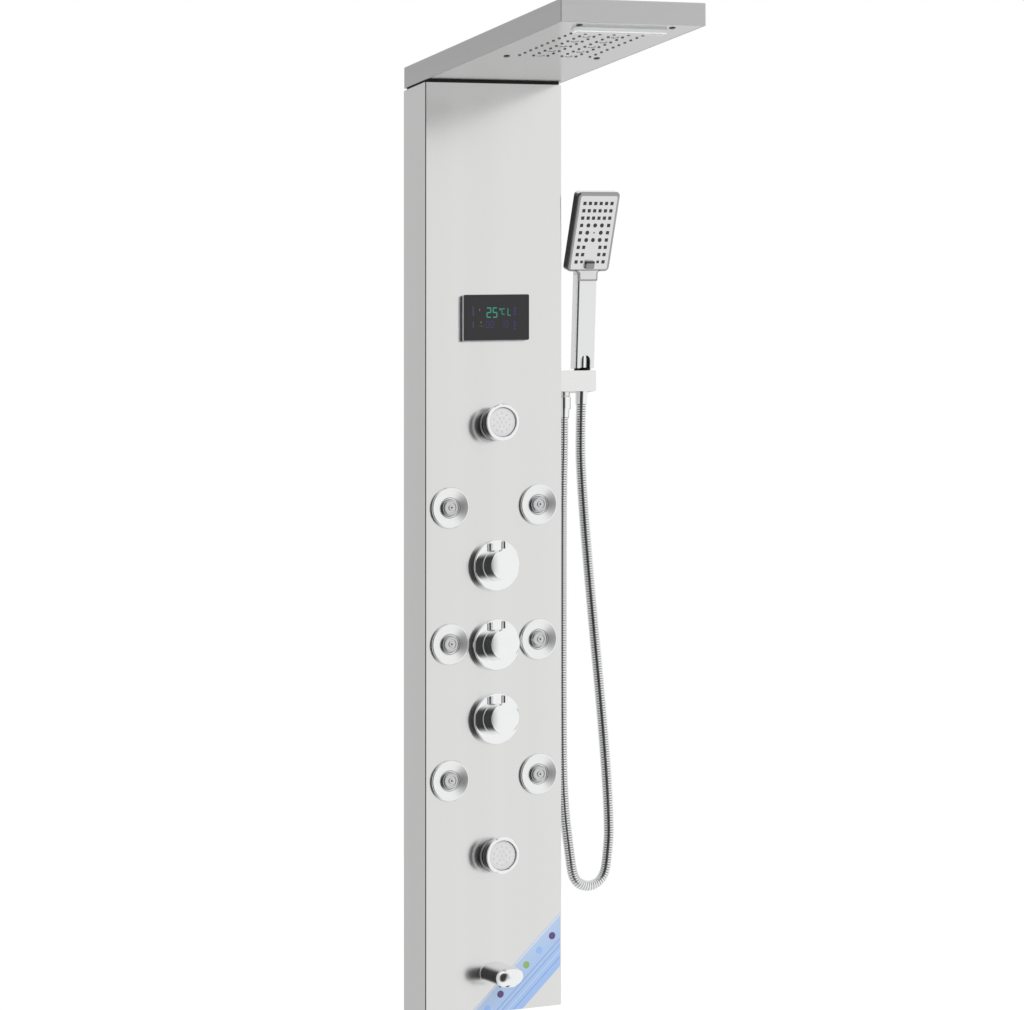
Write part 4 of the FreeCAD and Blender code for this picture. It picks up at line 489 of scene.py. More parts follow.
def clear_plastic(name, tint, roughness):
    """Clear moulded plastic with a faint tint and a ripple."""
    made, shader, tree, place = surface(name, 0.0, roughness)
    shader.inputs["Transmission Weight"].default_value = 1.0
    shader.inputs["IOR"].default_value = 1.45
    ripple = placed(tree, speckle, Coordinates=place, Mottle_scale=300.0, Skin_scale=900.0)
    paler = tuple(min(1.0, 1.04 * part) for part in tint)
    tree.links.new(between(tree, ripple["Mottle"], tint, paler), shader.inputs["Base Color"])
    raised(tree, shader, ripple["Mottle"], strength=0.1, distance=0.0002)
    return made


dress(clear_plastic("lens_clear", (0.90, 0.92, 0.93), 0.05), "light_lenses")


def polished(name, colour, roughness, wear=0.05):
    """Bright plating: nearly even, with faint cleaning marks that change its gloss."""
    made, shader, tree, place = surface(name, 1.0, roughness)
    marks = placed(tree, speckle, Coordinates=place, Mottle_scale=55.0, Skin_scale=900.0)
    low = tuple(0.95 * part for part in colour)
    tree.links.new(between(tree, marks["Mottle"], low, colour), shader.inputs["Base Color"])
    tree.links.new(spread(tree, marks["Mottle"], roughness, roughness + wear), shader.inputs["Roughness"])
    return made


chrome = polished("chrome_plating", (0.88, 0.885, 0.89), 0.04)
dress(polished("screw_steel", (0.10, 0.10, 0.10), 0.25), "face_plate_screws")

# ---- waterfall lip -------------------------------------------------------------------------------
# A white moulded lip hangs under the head's front and gives the water sheet its edge. It is a bar with soft
# corners, hollowed by the slot that the water leaves by.

LIP_LOW, LIP_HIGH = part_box("waterfall_lip")
LIP_FOOT = LIP_LOW.z - 0.0040
LIP_FORWARD = 0.004
LIP_NARROWER = 0.004
LIP_WALL, LIP_EDGE = 0.0022, 0.0006
LIP_ROUND, SLOT_ROUND = 0.0025, 0.001


def round_cornered(half_wide, half_tall, corner, steps=6):
    """A rectangle with round corners about (0, 0): the points of a circle of the corner's radius, each set
    out to the middle of its own corner."""
    turn = np.linspace(0, 2 * np.pi, 4 * steps, endpoint=False) + np.pi / 4 / steps
    circle = np.stack([np.cos(turn), np.sin(turn)], axis=1)
    return np.sign(circle) * (half_wide - corner, half_tall - corner) + corner * circle


def lip_ring(level, inset, corner=LIP_ROUND):
    """The lip's outline at a level, drawn in by the inset."""
    wide = (LIP_HIGH.x - LIP_LOW.x) / 2 - LIP_NARROWER - inset
    deep = (LIP_HIGH.y - LIP_LOW.y) / 2 - inset
    middle = ((LIP_HIGH.x + LIP_LOW.x) / 2, (LIP_HIGH.y + LIP_LOW.y) / 2 - LIP_FORWARD)
    flat = round_cornered(wide, deep, corner) + middle
    return np.c_[flat, np.full(len(flat), level)]


def closed_rings(name, rings, material, body):
    """A closed skin through rings of as many points each: quads from each ring to the next and from the last
    back to the first, so it needs no caps."""
    count = len(rings[0])
    a = np.arange(len(rings) * count).reshape(len(rings), count)
    b, next_a = np.roll(a, -1, axis=1), np.roll(a, -1, axis=0)
    faces = np.stack([a, b, np.roll(next_a, -1, axis=1), next_a], axis=-1).reshape(-1, 4)
    mesh = bpy.data.meshes.new(name)
    mesh.from_pydata(np.concatenate(rings).tolist(), [], faces.tolist())
    mesh.materials.append(material)
    mesh.polygons.foreach_set("use_smooth", np.ones(len(mesh.polygons), bool))
    outwards(mesh)
    mesh.set_sharp_from_angle(angle=math.radians(40))
    made = bpy.data.objects.new(name, mesh)
    bpy.context.scene.collection.objects.link(made)
    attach(made, body)
    return made


lip_rings = [lip_ring(LIP_HIGH.z, 0), lip_ring(LIP_FOOT + LIP_EDGE, 0), lip_ring(LIP_FOOT, LIP_EDGE)]
lip_rings += [lip_ring(level, LIP_WALL, SLOT_ROUND) for level in (LIP_FOOT, LIP_HIGH.z)]
lip_plastic = moulded("lip_plastic", (0.94, 0.95, 0.95), 0.25)
lip = closed_rings("fall_lip", lip_rings, lip_plastic, "panel")
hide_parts("waterfall_lip")

# ---- temperature display -------------------------------------------------------------------------
# A black glass window in a low gloss bezel. Behind the glass are green degree digits, dim clock digits, blue
# level bars and a few small marks: all plain segments, made as thin bars that glow a little.


def box_group():
    """Mask is 1 inside an upright box of the piece's own coordinates, from corner Low to corner High: the
    least of the point's distances to the six sides is above nothing there."""
    ins = (("Coordinates", "Vector"), ("Low", "Vector"), ("High", "Vector"))
    group, inside, outside = new_group("inside a box", ins, (("Mask", "Float"),))
    gaps = []
    for first, second in (("Coordinates", "Low"), ("High", "Coordinates")):
        gap = group.nodes.new("ShaderNodeVectorMath")
        gap.operation = "SUBTRACT"
        group.links.new(inside.outputs[first], gap.inputs[0])
        group.links.new(inside.outputs[second], gap.inputs[1])
        gaps.append(gap.outputs[0])
    least = group.nodes.new("ShaderNodeVectorMath")
    least.operation = "MINIMUM"
    group.links.new(gaps[0], least.inputs[0])
    group.links.new(gaps[1], least.inputs[1])
    parts = group.nodes.new("ShaderNodeSeparateXYZ")
    group.links.new(least.outputs[0], parts.inputs[0])
    lower = parts.outputs["X"]
    for axis in "YZ":
        pair = group.nodes.new("ShaderNodeMath")
        pair.operation = "MINIMUM"
        group.links.new(lower, pair.inputs[0])
        group.links.new(parts.outputs[axis], pair.inputs[1])
        lower = pair.outputs[0]
    above = group.nodes.new("ShaderNodeMath")
    above.operation = "GREATER_THAN"
    above.inputs[1].default_value = 0.0
    group.links.new(lower, above.inputs[0])
    group.links.new(above.outputs[0], outside.inputs["Mask"])
    return group


inside_box = box_group()


def trimmed(material, low, high, colour):
    """Gives the part of a material that lies inside a box another colour."""
    tree = material.node_tree
    shader = tree.nodes["Principled BSDF"]
    place = next(node for node in tree.nodes if node.type == "TEX_COORD").outputs["Object"]
    mask = placed(tree, inside_box, Coordinates=place, Low=low, High=high)["Mask"]
    under = shader.inputs["Base Color"].links[0].from_socket
    tree.links.new(between(tree, mask, under, colour), shader.inputs["Base Color"])


GLASS_LOW, GLASS_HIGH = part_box("display_window")
BEZEL_LOW, BEZEL_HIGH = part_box("display_bezel")
GLASS_MIDDLE = (GLASS_LOW + GLASS_HIGH) / 2
# The black bezel's left side is painted: a pale band near its front, a painted highlight, and dark grey
# behind it, a painted reflection.
PAINTED_HIGHLIGHT_START, PAINTED_HIGHLIGHT_END = BEZEL_LOW.y + 0.0012, BEZEL_LOW.y + 0.0042
SIDE_SKIN = 0.0008
PAST_PIECE = 0.001
bezel_black = moulded("bezel_black", (0.012, 0.012, 0.014), 0.18, strength=0.03)
for start, end, shade in (
    (PAINTED_HIGHLIGHT_START, PAINTED_HIGHLIGHT_END, (0.75, 0.75, 0.77)),
    (PAINTED_HIGHLIGHT_END, BEZEL_HIGH.y, (0.10, 0.10, 0.105)),
):
    side_low = (BEZEL_LOW.x - PAST_PIECE, start, BEZEL_LOW.z)
    trimmed(bezel_black, side_low, (BEZEL_LOW.x + SIDE_SKIN, end, BEZEL_HIGH.z), shade)
dress(bezel_black, "display_bezel")
dress(moulded("window_black", (0.006, 0.006, 0.008), 0.06, strength=0.02), "display_window")
dress(moulded("module_black", (0.03, 0.03, 0.03), 0.5), "display_module")

SEGMENTS = {"2": "abged", "5": "afgcd", "0": "abcdef", "1": "bc", "3": "abgcd", "C": "afed", "L": "fed"}


def bar(x, z, wide, tall):
    """The corners of an upright bar round (x, z)."""
    return np.array([(-wide, -tall), (wide, -tall), (wide, tall), (-wide, tall)]) / 2 + (x, z)


def digit(letter, x, z, wide, tall, thick):
    """The bars of one seven-segment digit round the point (x, z)."""
    bars = {
        "a": (0, tall / 2, wide, thick),
        "g": (0, 0, wide, thick),
        "d": (0, -tall / 2, wide, thick),
        "f": (-wide / 2, tall / 4, thick, tall / 2),
        "b": (wide / 2, tall / 4, thick, tall / 2),
        "e": (-wide / 2, -tall / 4, thick, tall / 2),
        "c": (wide / 2, -tall / 4, thick, tall / 2),
    }
    return [bar(x + bars[s][0], z + bars[s][1], bars[s][2], bars[s][3]) for s in SEGMENTS[letter]]


def glowing(name, colour, strength):
    """A lit segment: its own colour, a little uneven, and its glow."""
    made, shader, tree, place = surface(name, 0.0, 0.4)
    uneven = placed(tree, speckle, Coordinates=place, Mottle_scale=700.0, Skin_scale=900.0)
    low = tuple(0.75 * part for part in colour)
    tint = between(tree, uneven["Mottle"], low, colour)
    tree.links.new(tint, shader.inputs["Base Color"])
    tree.links.new(tint, shader.inputs["Emission Color"])
    shader.inputs["Emission Strength"].default_value = strength
    return made


LIT_LEFT, LIT_NARROW, LIT_THICK = 0.0031, 0.965, 0.00012


def lit(name, bars, material):
    """Thin bars on the glass, their front a hair proud of it. The whole lit field stands a little left of the
    glass's middle and is drawn a little narrower."""
    field_middle = (GLASS_MIDDLE.x - LIT_LEFT, GLASS_LOW.y, GLASS_MIDDLE.z)
    narrowed = [corners * (LIT_NARROW, 1) for corners in bars]
    steps = ((0, 1), (LIT_THICK, 1))
    standing(name, narrowed, steps, field_middle, *FRONT_WAYS, [material], slot="dark_glass")


# Each digit's letter, its place across and up, its width and height, and the thickness of its bars.
DEGREE_DIGITS = (
    ("2", -0.0086, 0.0064, 0.0056, 0.0122, 0.0013),
    ("5", 0.0007, 0.0064, 0.0056, 0.0122, 0.0013),
    ("C", 0.0132, 0.0076, 0.0040, 0.0070, 0.0009),
    ("L", 0.0222, 0.0072, 0.0042, 0.0092, 0.0010),
)
CLOCK_DIGITS = (("0", -0.0105), ("0", -0.0035), ("1", 0.0120), ("3", 0.0180))
CLOCK_SIZES = (-0.0090, 0.0044, 0.0080, 0.0009)
degrees = [segment for size in DEGREE_DIGITS for segment in digit(*size)]
degrees += [bar(0.0085, z, 0.0020, 0.0007) for z in (0.0118, 0.0096)]
degrees += [bar(x, 0.0107, 0.0007, 0.0020) for x in (0.0075, 0.0095)]
lit("display_degrees", degrees, glowing("segment_green", (0.02, 0.24, 0.16), 0.5))
clock = [segment for letter, x in CLOCK_DIGITS for segment in digit(letter, x, *CLOCK_SIZES)]
lit("display_clock", clock, glowing("segment_violet", (0.035, 0.022, 0.10), 0.25))
levels = [bar(-0.0322, 0.0085, 0.0016, 0.0120), bar(-0.0322, -0.0092, 0.0014, 0.0080)]
lit("display_levels", levels, glowing("segment_blue", (0.03, 0.045, 0.11), 0.25))
scale_bars = [bar(0.0304, z, 0.0022, 0.0030) for z in (-0.0150, -0.0110, -0.0070, 0.0040, 0.0080, 0.0120)]
lit("display_scale", scale_bars, glowing("segment_indigo", (0.03, 0.018, 0.11), 0.25))
small_marks = [bar(-0.0225, 0.0100, 0.0014, 0.0030), bar(-0.0203, -0.0062, 0.0016, 0.0022)]
lit("display_marks", small_marks, glowing("segment_olive", (0.11, 0.11, 0.06), 0.3))
amber_line = [bar(-0.0196, -0.0112, 0.0080, 0.0012)]
lit("display_line", amber_line, glowing("segment_amber", (0.07, 0.03, 0.012), 0.25))

# ---- valves --------------------------------------------------------------------------------------
# Three chrome knobs, each on its own wall flange with a raised ring, with a short radial pin to turn it by.

dress(chrome, "valve_flanges")
knob_chrome = polished("knob_chrome", (0.88, 0.885, 0.89), 0.06)
for valve in ("hot", "diverter", "cold"):
    dress(knob_chrome, valve + "_knob", valve + "_pin")
    dress(moulded(valve + "_spindle_brass", (0.60, 0.45, 0.20), 0.35, metallic=1.0), valve + "_spindle")

# ---- body jets -----------------------------------------------------------------------------------
# Six turned dishes of chromed plastic with hollow funnel faces, screwed through the casing. In each sits a
# ball that tilts: its face has grooves round one hole.

JET_OUT = 0.0645
JET_LEVELS = (0.664, 0.486, 0.308)
CASING_FRONT = CASING_LOW.y
# Radius and height over the casing in mm: up the stem, round the flange and its crest, down the funnel, round
# the ball's socket and back down the bore.
DISH_PROFILE = np.array(
    (
        (13.0, -25.0),
        (13.0, 0.02),
        (26.6, 0.02),
        (27.0, 0.4),
        (27.0, 2.6),
        (26.8, 3.6),
        (26.2, 4.3),
        (25.2, 4.6),
        (24.6, 4.48),
        (19.0, 3.14),
        (14.6, 2.08),
        (14.0, 1.93),
        (13.5, 1.5),
        (13.2, 1.1),
        (12.6, 0.7),
        (11.5, 0.6),
        (11.4, 0.0),
        (11.01, -2.95),
        (9.87, -5.7),
        (8.06, -8.06),
        (5.7, -9.87),
        (4.0, -10.67),
        (4.0, -25.0),
    )
) / 1000


def turned_forward(x, z, profile, corners=96):
    """Rings about a line along Y through (x, z): a profile point (radius r, forward f) turns to
    (x + r cos t, front - f, z + r sin t)."""
    turn = np.linspace(0, 2 * np.pi, corners, endpoint=False)
    circle = np.stack([np.cos(turn), np.zeros(corners), np.sin(turn)], axis=1)
    return [np.array((x, CASING_FRONT - f, z)) + r * circle for r, f in profile]


dish_chrome = polished("dish_chrome", (0.86, 0.865, 0.865), 0.20)
ball_chrome = polished("ball_chrome", (0.60, 0.60, 0.61), 0.16)
jet_places = [(side * JET_OUT, level) for level in JET_LEVELS for side in (-1, 1)]
for number, (x, z) in enumerate(jet_places, 1):
    rings = turned_forward(x, z, DISH_PROFILE)
    closed_rings("jet_dish_%d" % number, rings, dish_chrome, "panel")
    dress(ball_chrome, "jet_nozzle_%d" % number)
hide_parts("jet_dishes")

# ---- swivel sprays -------------------------------------------------------------------------------
# Two chrome cups on balls. The face sits deep in the cup's rim and is pebbled, with small nozzle bumps, and
# the base on the casing and the seats are painted dark grey: a painted reflection and shade round each cup.

dress(polished("base_painted_reflection_shade", (0.30, 0.30, 0.30), 0.28), "spray_bases", "upper_spray_seat", "lower_spray_seat")
dress(polished("cup_chrome", (0.88, 0.885, 0.89), 0.08), "upper_spray_head", "lower_spray_head")
pebbled = moulded("spray_face_pebbled", (0.70, 0.70, 0.70), 0.35, grain_scale=420.0, strength=0.5)
dress(pebbled, "upper_spray_face", "lower_spray_face")

# ---- tub spout -----------------------------------------------------------------------------------
# A chromed brass casting: an oval tube that droops a little, with a domed end, and a round collar under its
# tip that holds a grey aerator.

SPOUT_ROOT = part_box("tub_spout")[0].z + 0.0150
SPOUT_HALF_WIDE, SPOUT_HALF_TALL = 0.0200, 0.0130
SPOUT_REACH, SPOUT_DOME, DOME_POWER, DOME_TIP = 0.0435, 0.0125, 2.2, 0.004
SPOUT_DROOP, SPOUT_LEAN = 0.0055, 0.20
FOOT_SPREAD, FOOT_GAP, FOOT_EDGE = 0.0004, 0.00002, 0.0008
STEM_RADIUS, STEM_LONG = 0.0104, 0.012
OVAL, ROUND = 2.3, 2.0
# The bore's place and radius, from its closed tip in the dome to its mouth behind the casing.
SPOUT_BORE = ((SPOUT_REACH + SPOUT_DOME - 0.003, 0.0003), (SPOUT_REACH - 0.002, 0.006), (-STEM_LONG, 0.0075))


def oval(reach, half_wide, half_tall, squareness=OVAL, corners=72):
    """One section of the spout at a distance from the casing: a superellipse, its middle dropping with the
    reach, and its top reaching further forward than its bottom near the end."""
    turn = np.linspace(0, 2 * np.pi, corners, endpoint=False)
    x = half_wide * np.sign(np.cos(turn)) * np.abs(np.cos(turn)) ** (2 / squareness)
    z = half_tall * np.sign(np.sin(turn)) * np.abs(np.sin(turn)) ** (2 / squareness)
    out = max(reach, 0.0) / (SPOUT_REACH + SPOUT_DOME)
    lean = SPOUT_LEAN * out**3 * z
    level = SPOUT_ROOT - SPOUT_DROOP * out
    return np.stack([x, np.full(corners, CASING_FRONT - reach) - lean, level + z], axis=1)


stem = [oval(reach, STEM_RADIUS, STEM_RADIUS, ROUND) for reach in (-STEM_LONG, 0.0)]
walls = [oval(FOOT_GAP, SPOUT_HALF_WIDE + FOOT_SPREAD, SPOUT_HALF_TALL + FOOT_SPREAD)]
walls += [oval(reach, SPOUT_HALF_WIDE, SPOUT_HALF_TALL) for reach in np.linspace(FOOT_EDGE, SPOUT_REACH, 12)]
rise = np.linspace(0, 1, 14)[1:]
shares = np.maximum((1 - rise**DOME_POWER) ** (1 / DOME_POWER), DOME_TIP)
dome = [
    oval(SPOUT_REACH + SPOUT_DOME * forward, share * SPOUT_HALF_WIDE, share * SPOUT_HALF_TALL)
    for forward, share in zip(rise, shares)
]
bore = [oval(reach, radius, radius, ROUND) for reach, radius in SPOUT_BORE]
spout_chrome = polished("spout_chrome", (0.88, 0.885, 0.89), 0.05)
spout = closed_rings("spout_casting", stem + walls + dome + bore, spout_chrome, "panel")
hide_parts("tub_spout")

AERATOR_LOW, AERATOR_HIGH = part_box("spout_aerator")
COLLAR_AXIS = ((AERATOR_LOW.x + AERATOR_HIGH.x) / 2, (AERATOR_LOW.y + AERATOR_HIGH.y) / 2)
COLLAR_TOP, COLLAR_EDGE, COLLAR_FOOT = AERATOR_HIGH.z + 0.003, AERATOR_LOW.z - 0.0014, AERATOR_LOW.z - 0.0020
COLLAR_RADIUS, COLLAR_FOOT_RADIUS, COLLAR_BORE = 0.0115, 0.0111, 0.0098
collar_rings = [
    np.c_[disc(*COLLAR_AXIS, radius, 64), np.full(64, level)]
    for radius, level in (
        (COLLAR_RADIUS, COLLAR_TOP),
        (COLLAR_RADIUS, COLLAR_EDGE),
        (COLLAR_FOOT_RADIUS, COLLAR_FOOT),
        (COLLAR_BORE, COLLAR_FOOT),
        (COLLAR_BORE, COLLAR_TOP),
    )
]
closed_rings("spout_collar", collar_rings, spout_chrome, "panel")
dress(moulded("aerator_grey", (0.35, 0.36, 0.36), 0.4), "spout_aerator")

# ---- holder block --------------------------------------------------------------------------------
# A satin block on the casing's right side. The hand shower's cone drops into its cradle, and the hose leaves
# by a chrome nut under it. The cone's collar is painted black just over the block: a rubber ring, and a
# painted shadow of the gap under the handle.

block_steel = brushed_steel(
    "block_steel",
    pale=(0.82, 0.82, 0.815),
    deep=(0.79, 0.79, 0.785),
    hairs=(9, 1400, 1400),
    bands=(1.5, 30, 30),
    roughness=(0.22, 0.28),
    share=0.8,
    strength=0.02,
)
dress(block_steel, "holder_block")
dress(chrome, "hose_nut")
BLOCK_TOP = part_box("holder_block")[1].z
# A black band on the cone's chrome stands for a rubber ring and is also a painted shadow of the gap under the
# handle.
RING_TALL, RING_AND_GAP_SHADOW_BLACK = 0.0042, (0.012, 0.012, 0.012)
ring_shadow_low, ring_shadow_high = (0.12, -0.06, BLOCK_TOP), (0.17, 0.0, BLOCK_TOP + RING_TALL)
cone_chrome = polished("cone_chrome", (0.88, 0.885, 0.89), 0.05)
trimmed(cone_chrome, ring_shadow_low, ring_shadow_high, RING_AND_GAP_SHADOW_BLACK)
dress(cone_chrome, "hose_cone")

# ---- shower hose ---------------------------------------------------------------------------------
# A flexible hose of a wound steel strip: 14 mm across, with a rib every 3.3 mm. It hangs from its nut in a
# long loop and comes back up to the cone under the hand shower, so the picture shows it from end to end.

HOSE_SIZE = 0.014
RIB_PITCH = 0.0033
RIB_DEEP = 0.0011
# Where each rib's four rings stand along its pitch, and how deep they lie: groove, crown, crown, groove.
RIB_PLACES, RIB_DEPTHS = np.array((0.0, 0.18, 0.62, 0.80)), np.array((1.0, 0.0, 0.0, 1.0))
HOSE_POINTS = np.array(
    (
        (118.0, -34.0, 780.0),
        (118.0, -34.0, 750.0),
        (115.8, -34.0, 670.0),
        (115.8, -34.0, 350.0),
        (118.4, -34.0, 262.0),
        (128.3, -34.0, 191.0),
        (132.2, -34.0, 166.4),
        (142.0, -34.0, 155.0),
        (156.4, -34.0, 150.7),
        (170.8, -34.0, 154.8),
        (180.8, -34.0, 166.0),
        (184.5, -34.0, 190.0),
        (188.0, -34.0, 228.0),
        (180.2, -34.0, 345.0),
        (155.5, -33.5, 580.0),
        (145.8, -30.5, 715.0),
        (146.5, -29.48, 768.14),
        (146.5, -31.31, 798.08),
    )
) / 1000


def smooth_line(name, points):
    """The points of a NURBS line of order 3 through its two ends, as Blender evaluates it."""
    drawn = bpy.data.curves.new(name, "CURVE")
    drawn.dimensions = "3D"
    spline = drawn.splines.new("NURBS")
    spline.points.add(len(points) - 1)
    spline.points.foreach_set("co", np.c_[points, np.ones(len(points))].ravel())
    spline.order_u = 3
    spline.use_endpoint_u = True
    spline.resolution_u = 60
    shown = bpy.data.objects.new(name, drawn)
    bpy.context.scene.collection.objects.link(shown)
    bpy.context.view_layer.update()
    read = bpy.data.meshes.new_from_object(shown)
    line = np.empty(len(read.vertices) * 3)
    read.vertices.foreach_get("co", line)
    bpy.data.objects.remove(shown)
    return line.reshape(-1, 3)


def along(line, stations):
    """Places and directions on a line at distances from its start, both by straight interpolation."""
    steps = np.linalg.norm(np.diff(line, axis=0), axis=1)
    reach = np.concatenate(([0], np.cumsum(steps)))
    spots = np.stack([np.interp(stations, reach, line[:, axis]) for axis in range(3)], axis=1)
    tangent = np.gradient(spots, axis=0)
    return spots, tangent / np.linalg.norm(tangent, axis=1)[:, None]


def ribbed_tube(name, line, radius, pitch, depth, sides=18):
    """A tube along a line whose radius drops by depth between ribs. At each station a circle is drawn on a
    steady sideways axis: spot + radius * (cos t * across + sin t * side), and rings are joined by quads. The
    quads from a rib's last ring to the next rib take the second material, a dark grey painted shade in the
    grooves."""
    length = np.linalg.norm(np.diff(line, axis=0), axis=1).sum()
    ribs = int(length / pitch)
    stations = ((np.arange(ribs)[:, None] + RIB_PLACES) * (length / ribs)).ravel()
    radii = np.tile(radius - depth * RIB_DEPTHS, ribs)
    stations, radii = np.append(stations, length), np.append(radii, radius - depth)
    spots, ahead_on = along(line, stations)
    side = np.cross(ahead_on, (0.0, 1.0, 0.0))
    side /= np.linalg.norm(side, axis=1)[:, None]
    across = np.cross(side, ahead_on)
    turn = np.linspace(0, 2 * np.pi, sides, endpoint=False)
    ring = np.cos(turn)[None, :, None] * across[:, None] + np.sin(turn)[None, :, None] * side[:, None]
    points = spots[:, None] + radii[:, None, None] * ring
    count = len(stations)
    a = np.arange((count - 1) * sides).reshape(count - 1, sides)
    b = np.roll(a, -1, axis=1)
    quads = np.stack([a, b, b + sides, a + sides], axis=-1).reshape(-1, 4)
    ends = [list(range(sides))[::-1], list(range((count - 1) * sides, count * sides))]
    mesh = bpy.data.meshes.new(name)
    mesh.from_pydata(points.reshape(-1, 3).tolist(), [], quads.tolist() + ends)
    mesh.polygons.foreach_set("use_smooth", np.ones(len(mesh.polygons), bool))
    groove = np.append(np.repeat(np.arange(count - 1) % 4 == 3, sides), (False, False))
    mesh.polygons.foreach_set("material_index", groove.astype(np.int32))
    made = bpy.data.objects.new(name, mesh)
    bpy.context.scene.collection.objects.link(made)
    return made, length


hose_line = smooth_line("hose_route", HOSE_POINTS)
hose, hose_length = ribbed_tube("wound_hose", hose_line, HOSE_SIZE / 2, RIB_PITCH, RIB_DEEP)
hose.data.materials.append(polished("hose_steel", (0.86, 0.865, 0.87), 0.12))
# The second material paints the grooves dark grey: a painted shade.
hose.data.materials.append(polished("hose_groove_painted_shade", (0.30, 0.30, 0.305), 0.4))
hose.data.set_sharp_from_angle(angle=math.radians(35))
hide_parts("shower_hose")
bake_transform(hose)

# ---- hand shower ---------------------------------------------------------------------------------
# Satin-plated plastic: a slim box handle, a flat head whose sides are painted dark as a painted reflection, a
# bevel round the pale face plate that is painted grey, also a painted reflection, rubber nozzles that stand
# proud of it, a tongue over the handle and a lever that picks the spray.

HANDLE_FOOT = np.array((0.1465, -0.034, BLOCK_TOP))
LEAN, FACE_TURN = math.radians(3.5), math.radians(19)
HANDLE_UP = np.array((0, -math.sin(LEAN), math.cos(LEAN)))
HANDLE_OUT = np.array((0, -math.cos(LEAN), -math.sin(LEAN)))
FACE_UP = np.array((0, -math.sin(FACE_TURN), math.cos(FACE_TURN)))
FACE_OUT = np.array((0, -math.cos(FACE_TURN), -math.sin(FACE_TURN)))
HANDLE_LONG, HANDLE_FRONT = 0.132, 0.0089
FACE_FOOT = HANDLE_FOOT + HANDLE_FRONT * HANDLE_OUT + HANDLE_LONG * HANDLE_UP
FACE_LEVEL, HEAD_LEVEL = float(FACE_FOOT @ FACE_OUT), float(FACE_FOOT[2])
SHELL_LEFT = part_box("handset_shell")[0].x
BEVEL = 0.0022
HANDLE_LEFT = 0.1315
ACROSS = (1, 0, 0)

# The shell is satin. Its rim round the face is painted a darker grey, a painted reflection in the chamfer,
# and its left side is painted dark on the head, a painted reflection, and bright on the handle, a painted
# highlight. Each is told by its place in the piece's own coordinates, in a box that reaches past the piece at
# the front, the back and the top.
SIDE_LEVEL = HEAD_LEVEL - 0.004
DARK_SIDE_REFLECTION_DEEP, BRIGHT_SIDE_HIGHLIGHT_DEEP = 0.0012, 0.0010
BOX_FRONT, BOX_BACK, BOX_TOP = -0.2, 0.0, 1.2
satin = polished("satin_plating", (0.80, 0.805, 0.81), 0.20, wear=0.06)
tree = satin.node_tree
place = next(node for node in tree.nodes if node.type == "TEX_COORD").outputs["Object"]
over_face = tree.nodes.new("ShaderNodeVectorMath")
over_face.operation = "DOT_PRODUCT"
over_face.inputs[1].default_value = tuple(FACE_OUT)
tree.links.new(place, over_face.inputs[0])
RIM_START, RIM_FULL = FACE_LEVEL - BEVEL - 0.0003, FACE_LEVEL - BEVEL - 0.0001
rim_reflection_level = spread(tree, over_face.outputs["Value"], 0, 1, RIM_START, RIM_FULL)
head_low, head_high = (0.1, BOX_FRONT, HEAD_LEVEL - 0.002), (0.2, BOX_BACK, BOX_TOP)
over_handle = placed(tree, inside_box, Coordinates=place, Low=head_low, High=head_high)["Mask"]
painted_rim_reflection = tree.nodes.new("ShaderNodeMath")
painted_rim_reflection.operation = "MULTIPLY"
tree.links.new(rim_reflection_level, painted_rim_reflection.inputs[0])
tree.links.new(over_handle, painted_rim_reflection.inputs[1])
shell_shader = tree.nodes["Principled BSDF"]
plain = shell_shader.inputs["Base Color"].links[0].from_socket
# Painted reflection: the shell is painted darker grey where its chamfer meets the face.
rim_reflection_painted = between(tree, painted_rim_reflection.outputs[0], plain, (0.33, 0.33, 0.335))
tree.links.new(rim_reflection_painted, shell_shader.inputs["Base Color"])
# Painted reflection: the head's left side is painted dark.
painted_dark_side = (SHELL_LEFT - PAST_PIECE, BOX_FRONT, SIDE_LEVEL)
trimmed(satin, painted_dark_side, (SHELL_LEFT + DARK_SIDE_REFLECTION_DEEP, BOX_BACK, BOX_TOP), (0.10, 0.10, 0.105))
# Painted highlight: the handle's left side is painted bright.
painted_bright_side = (0.125, BOX_FRONT, BLOCK_TOP - 0.01)
trimmed(satin, painted_bright_side, (HANDLE_LEFT + BRIGHT_SIDE_HIGHLIGHT_DEEP, BOX_BACK, SIDE_LEVEL), (0.98, 0.98, 0.98))
dress(satin, "handset_shell")
# The grey of the face plate's bevel and of the tongue's rim is a painted reflection in the chamfer.
bevel_painted_reflection = polished("bevel_painted_reflection", (0.36, 0.36, 0.365), 0.22)
plate_pale = moulded("face_plate_satin", (0.80, 0.80, 0.80), 0.35, metallic=1.0, strength=0.3)
dress(bevel_painted_reflection, "handset_face_plate")
rubber = moulded("nozzle_dark", (0.025, 0.025, 0.027), 0.5)
dress(rubber, "handset_nozzles")

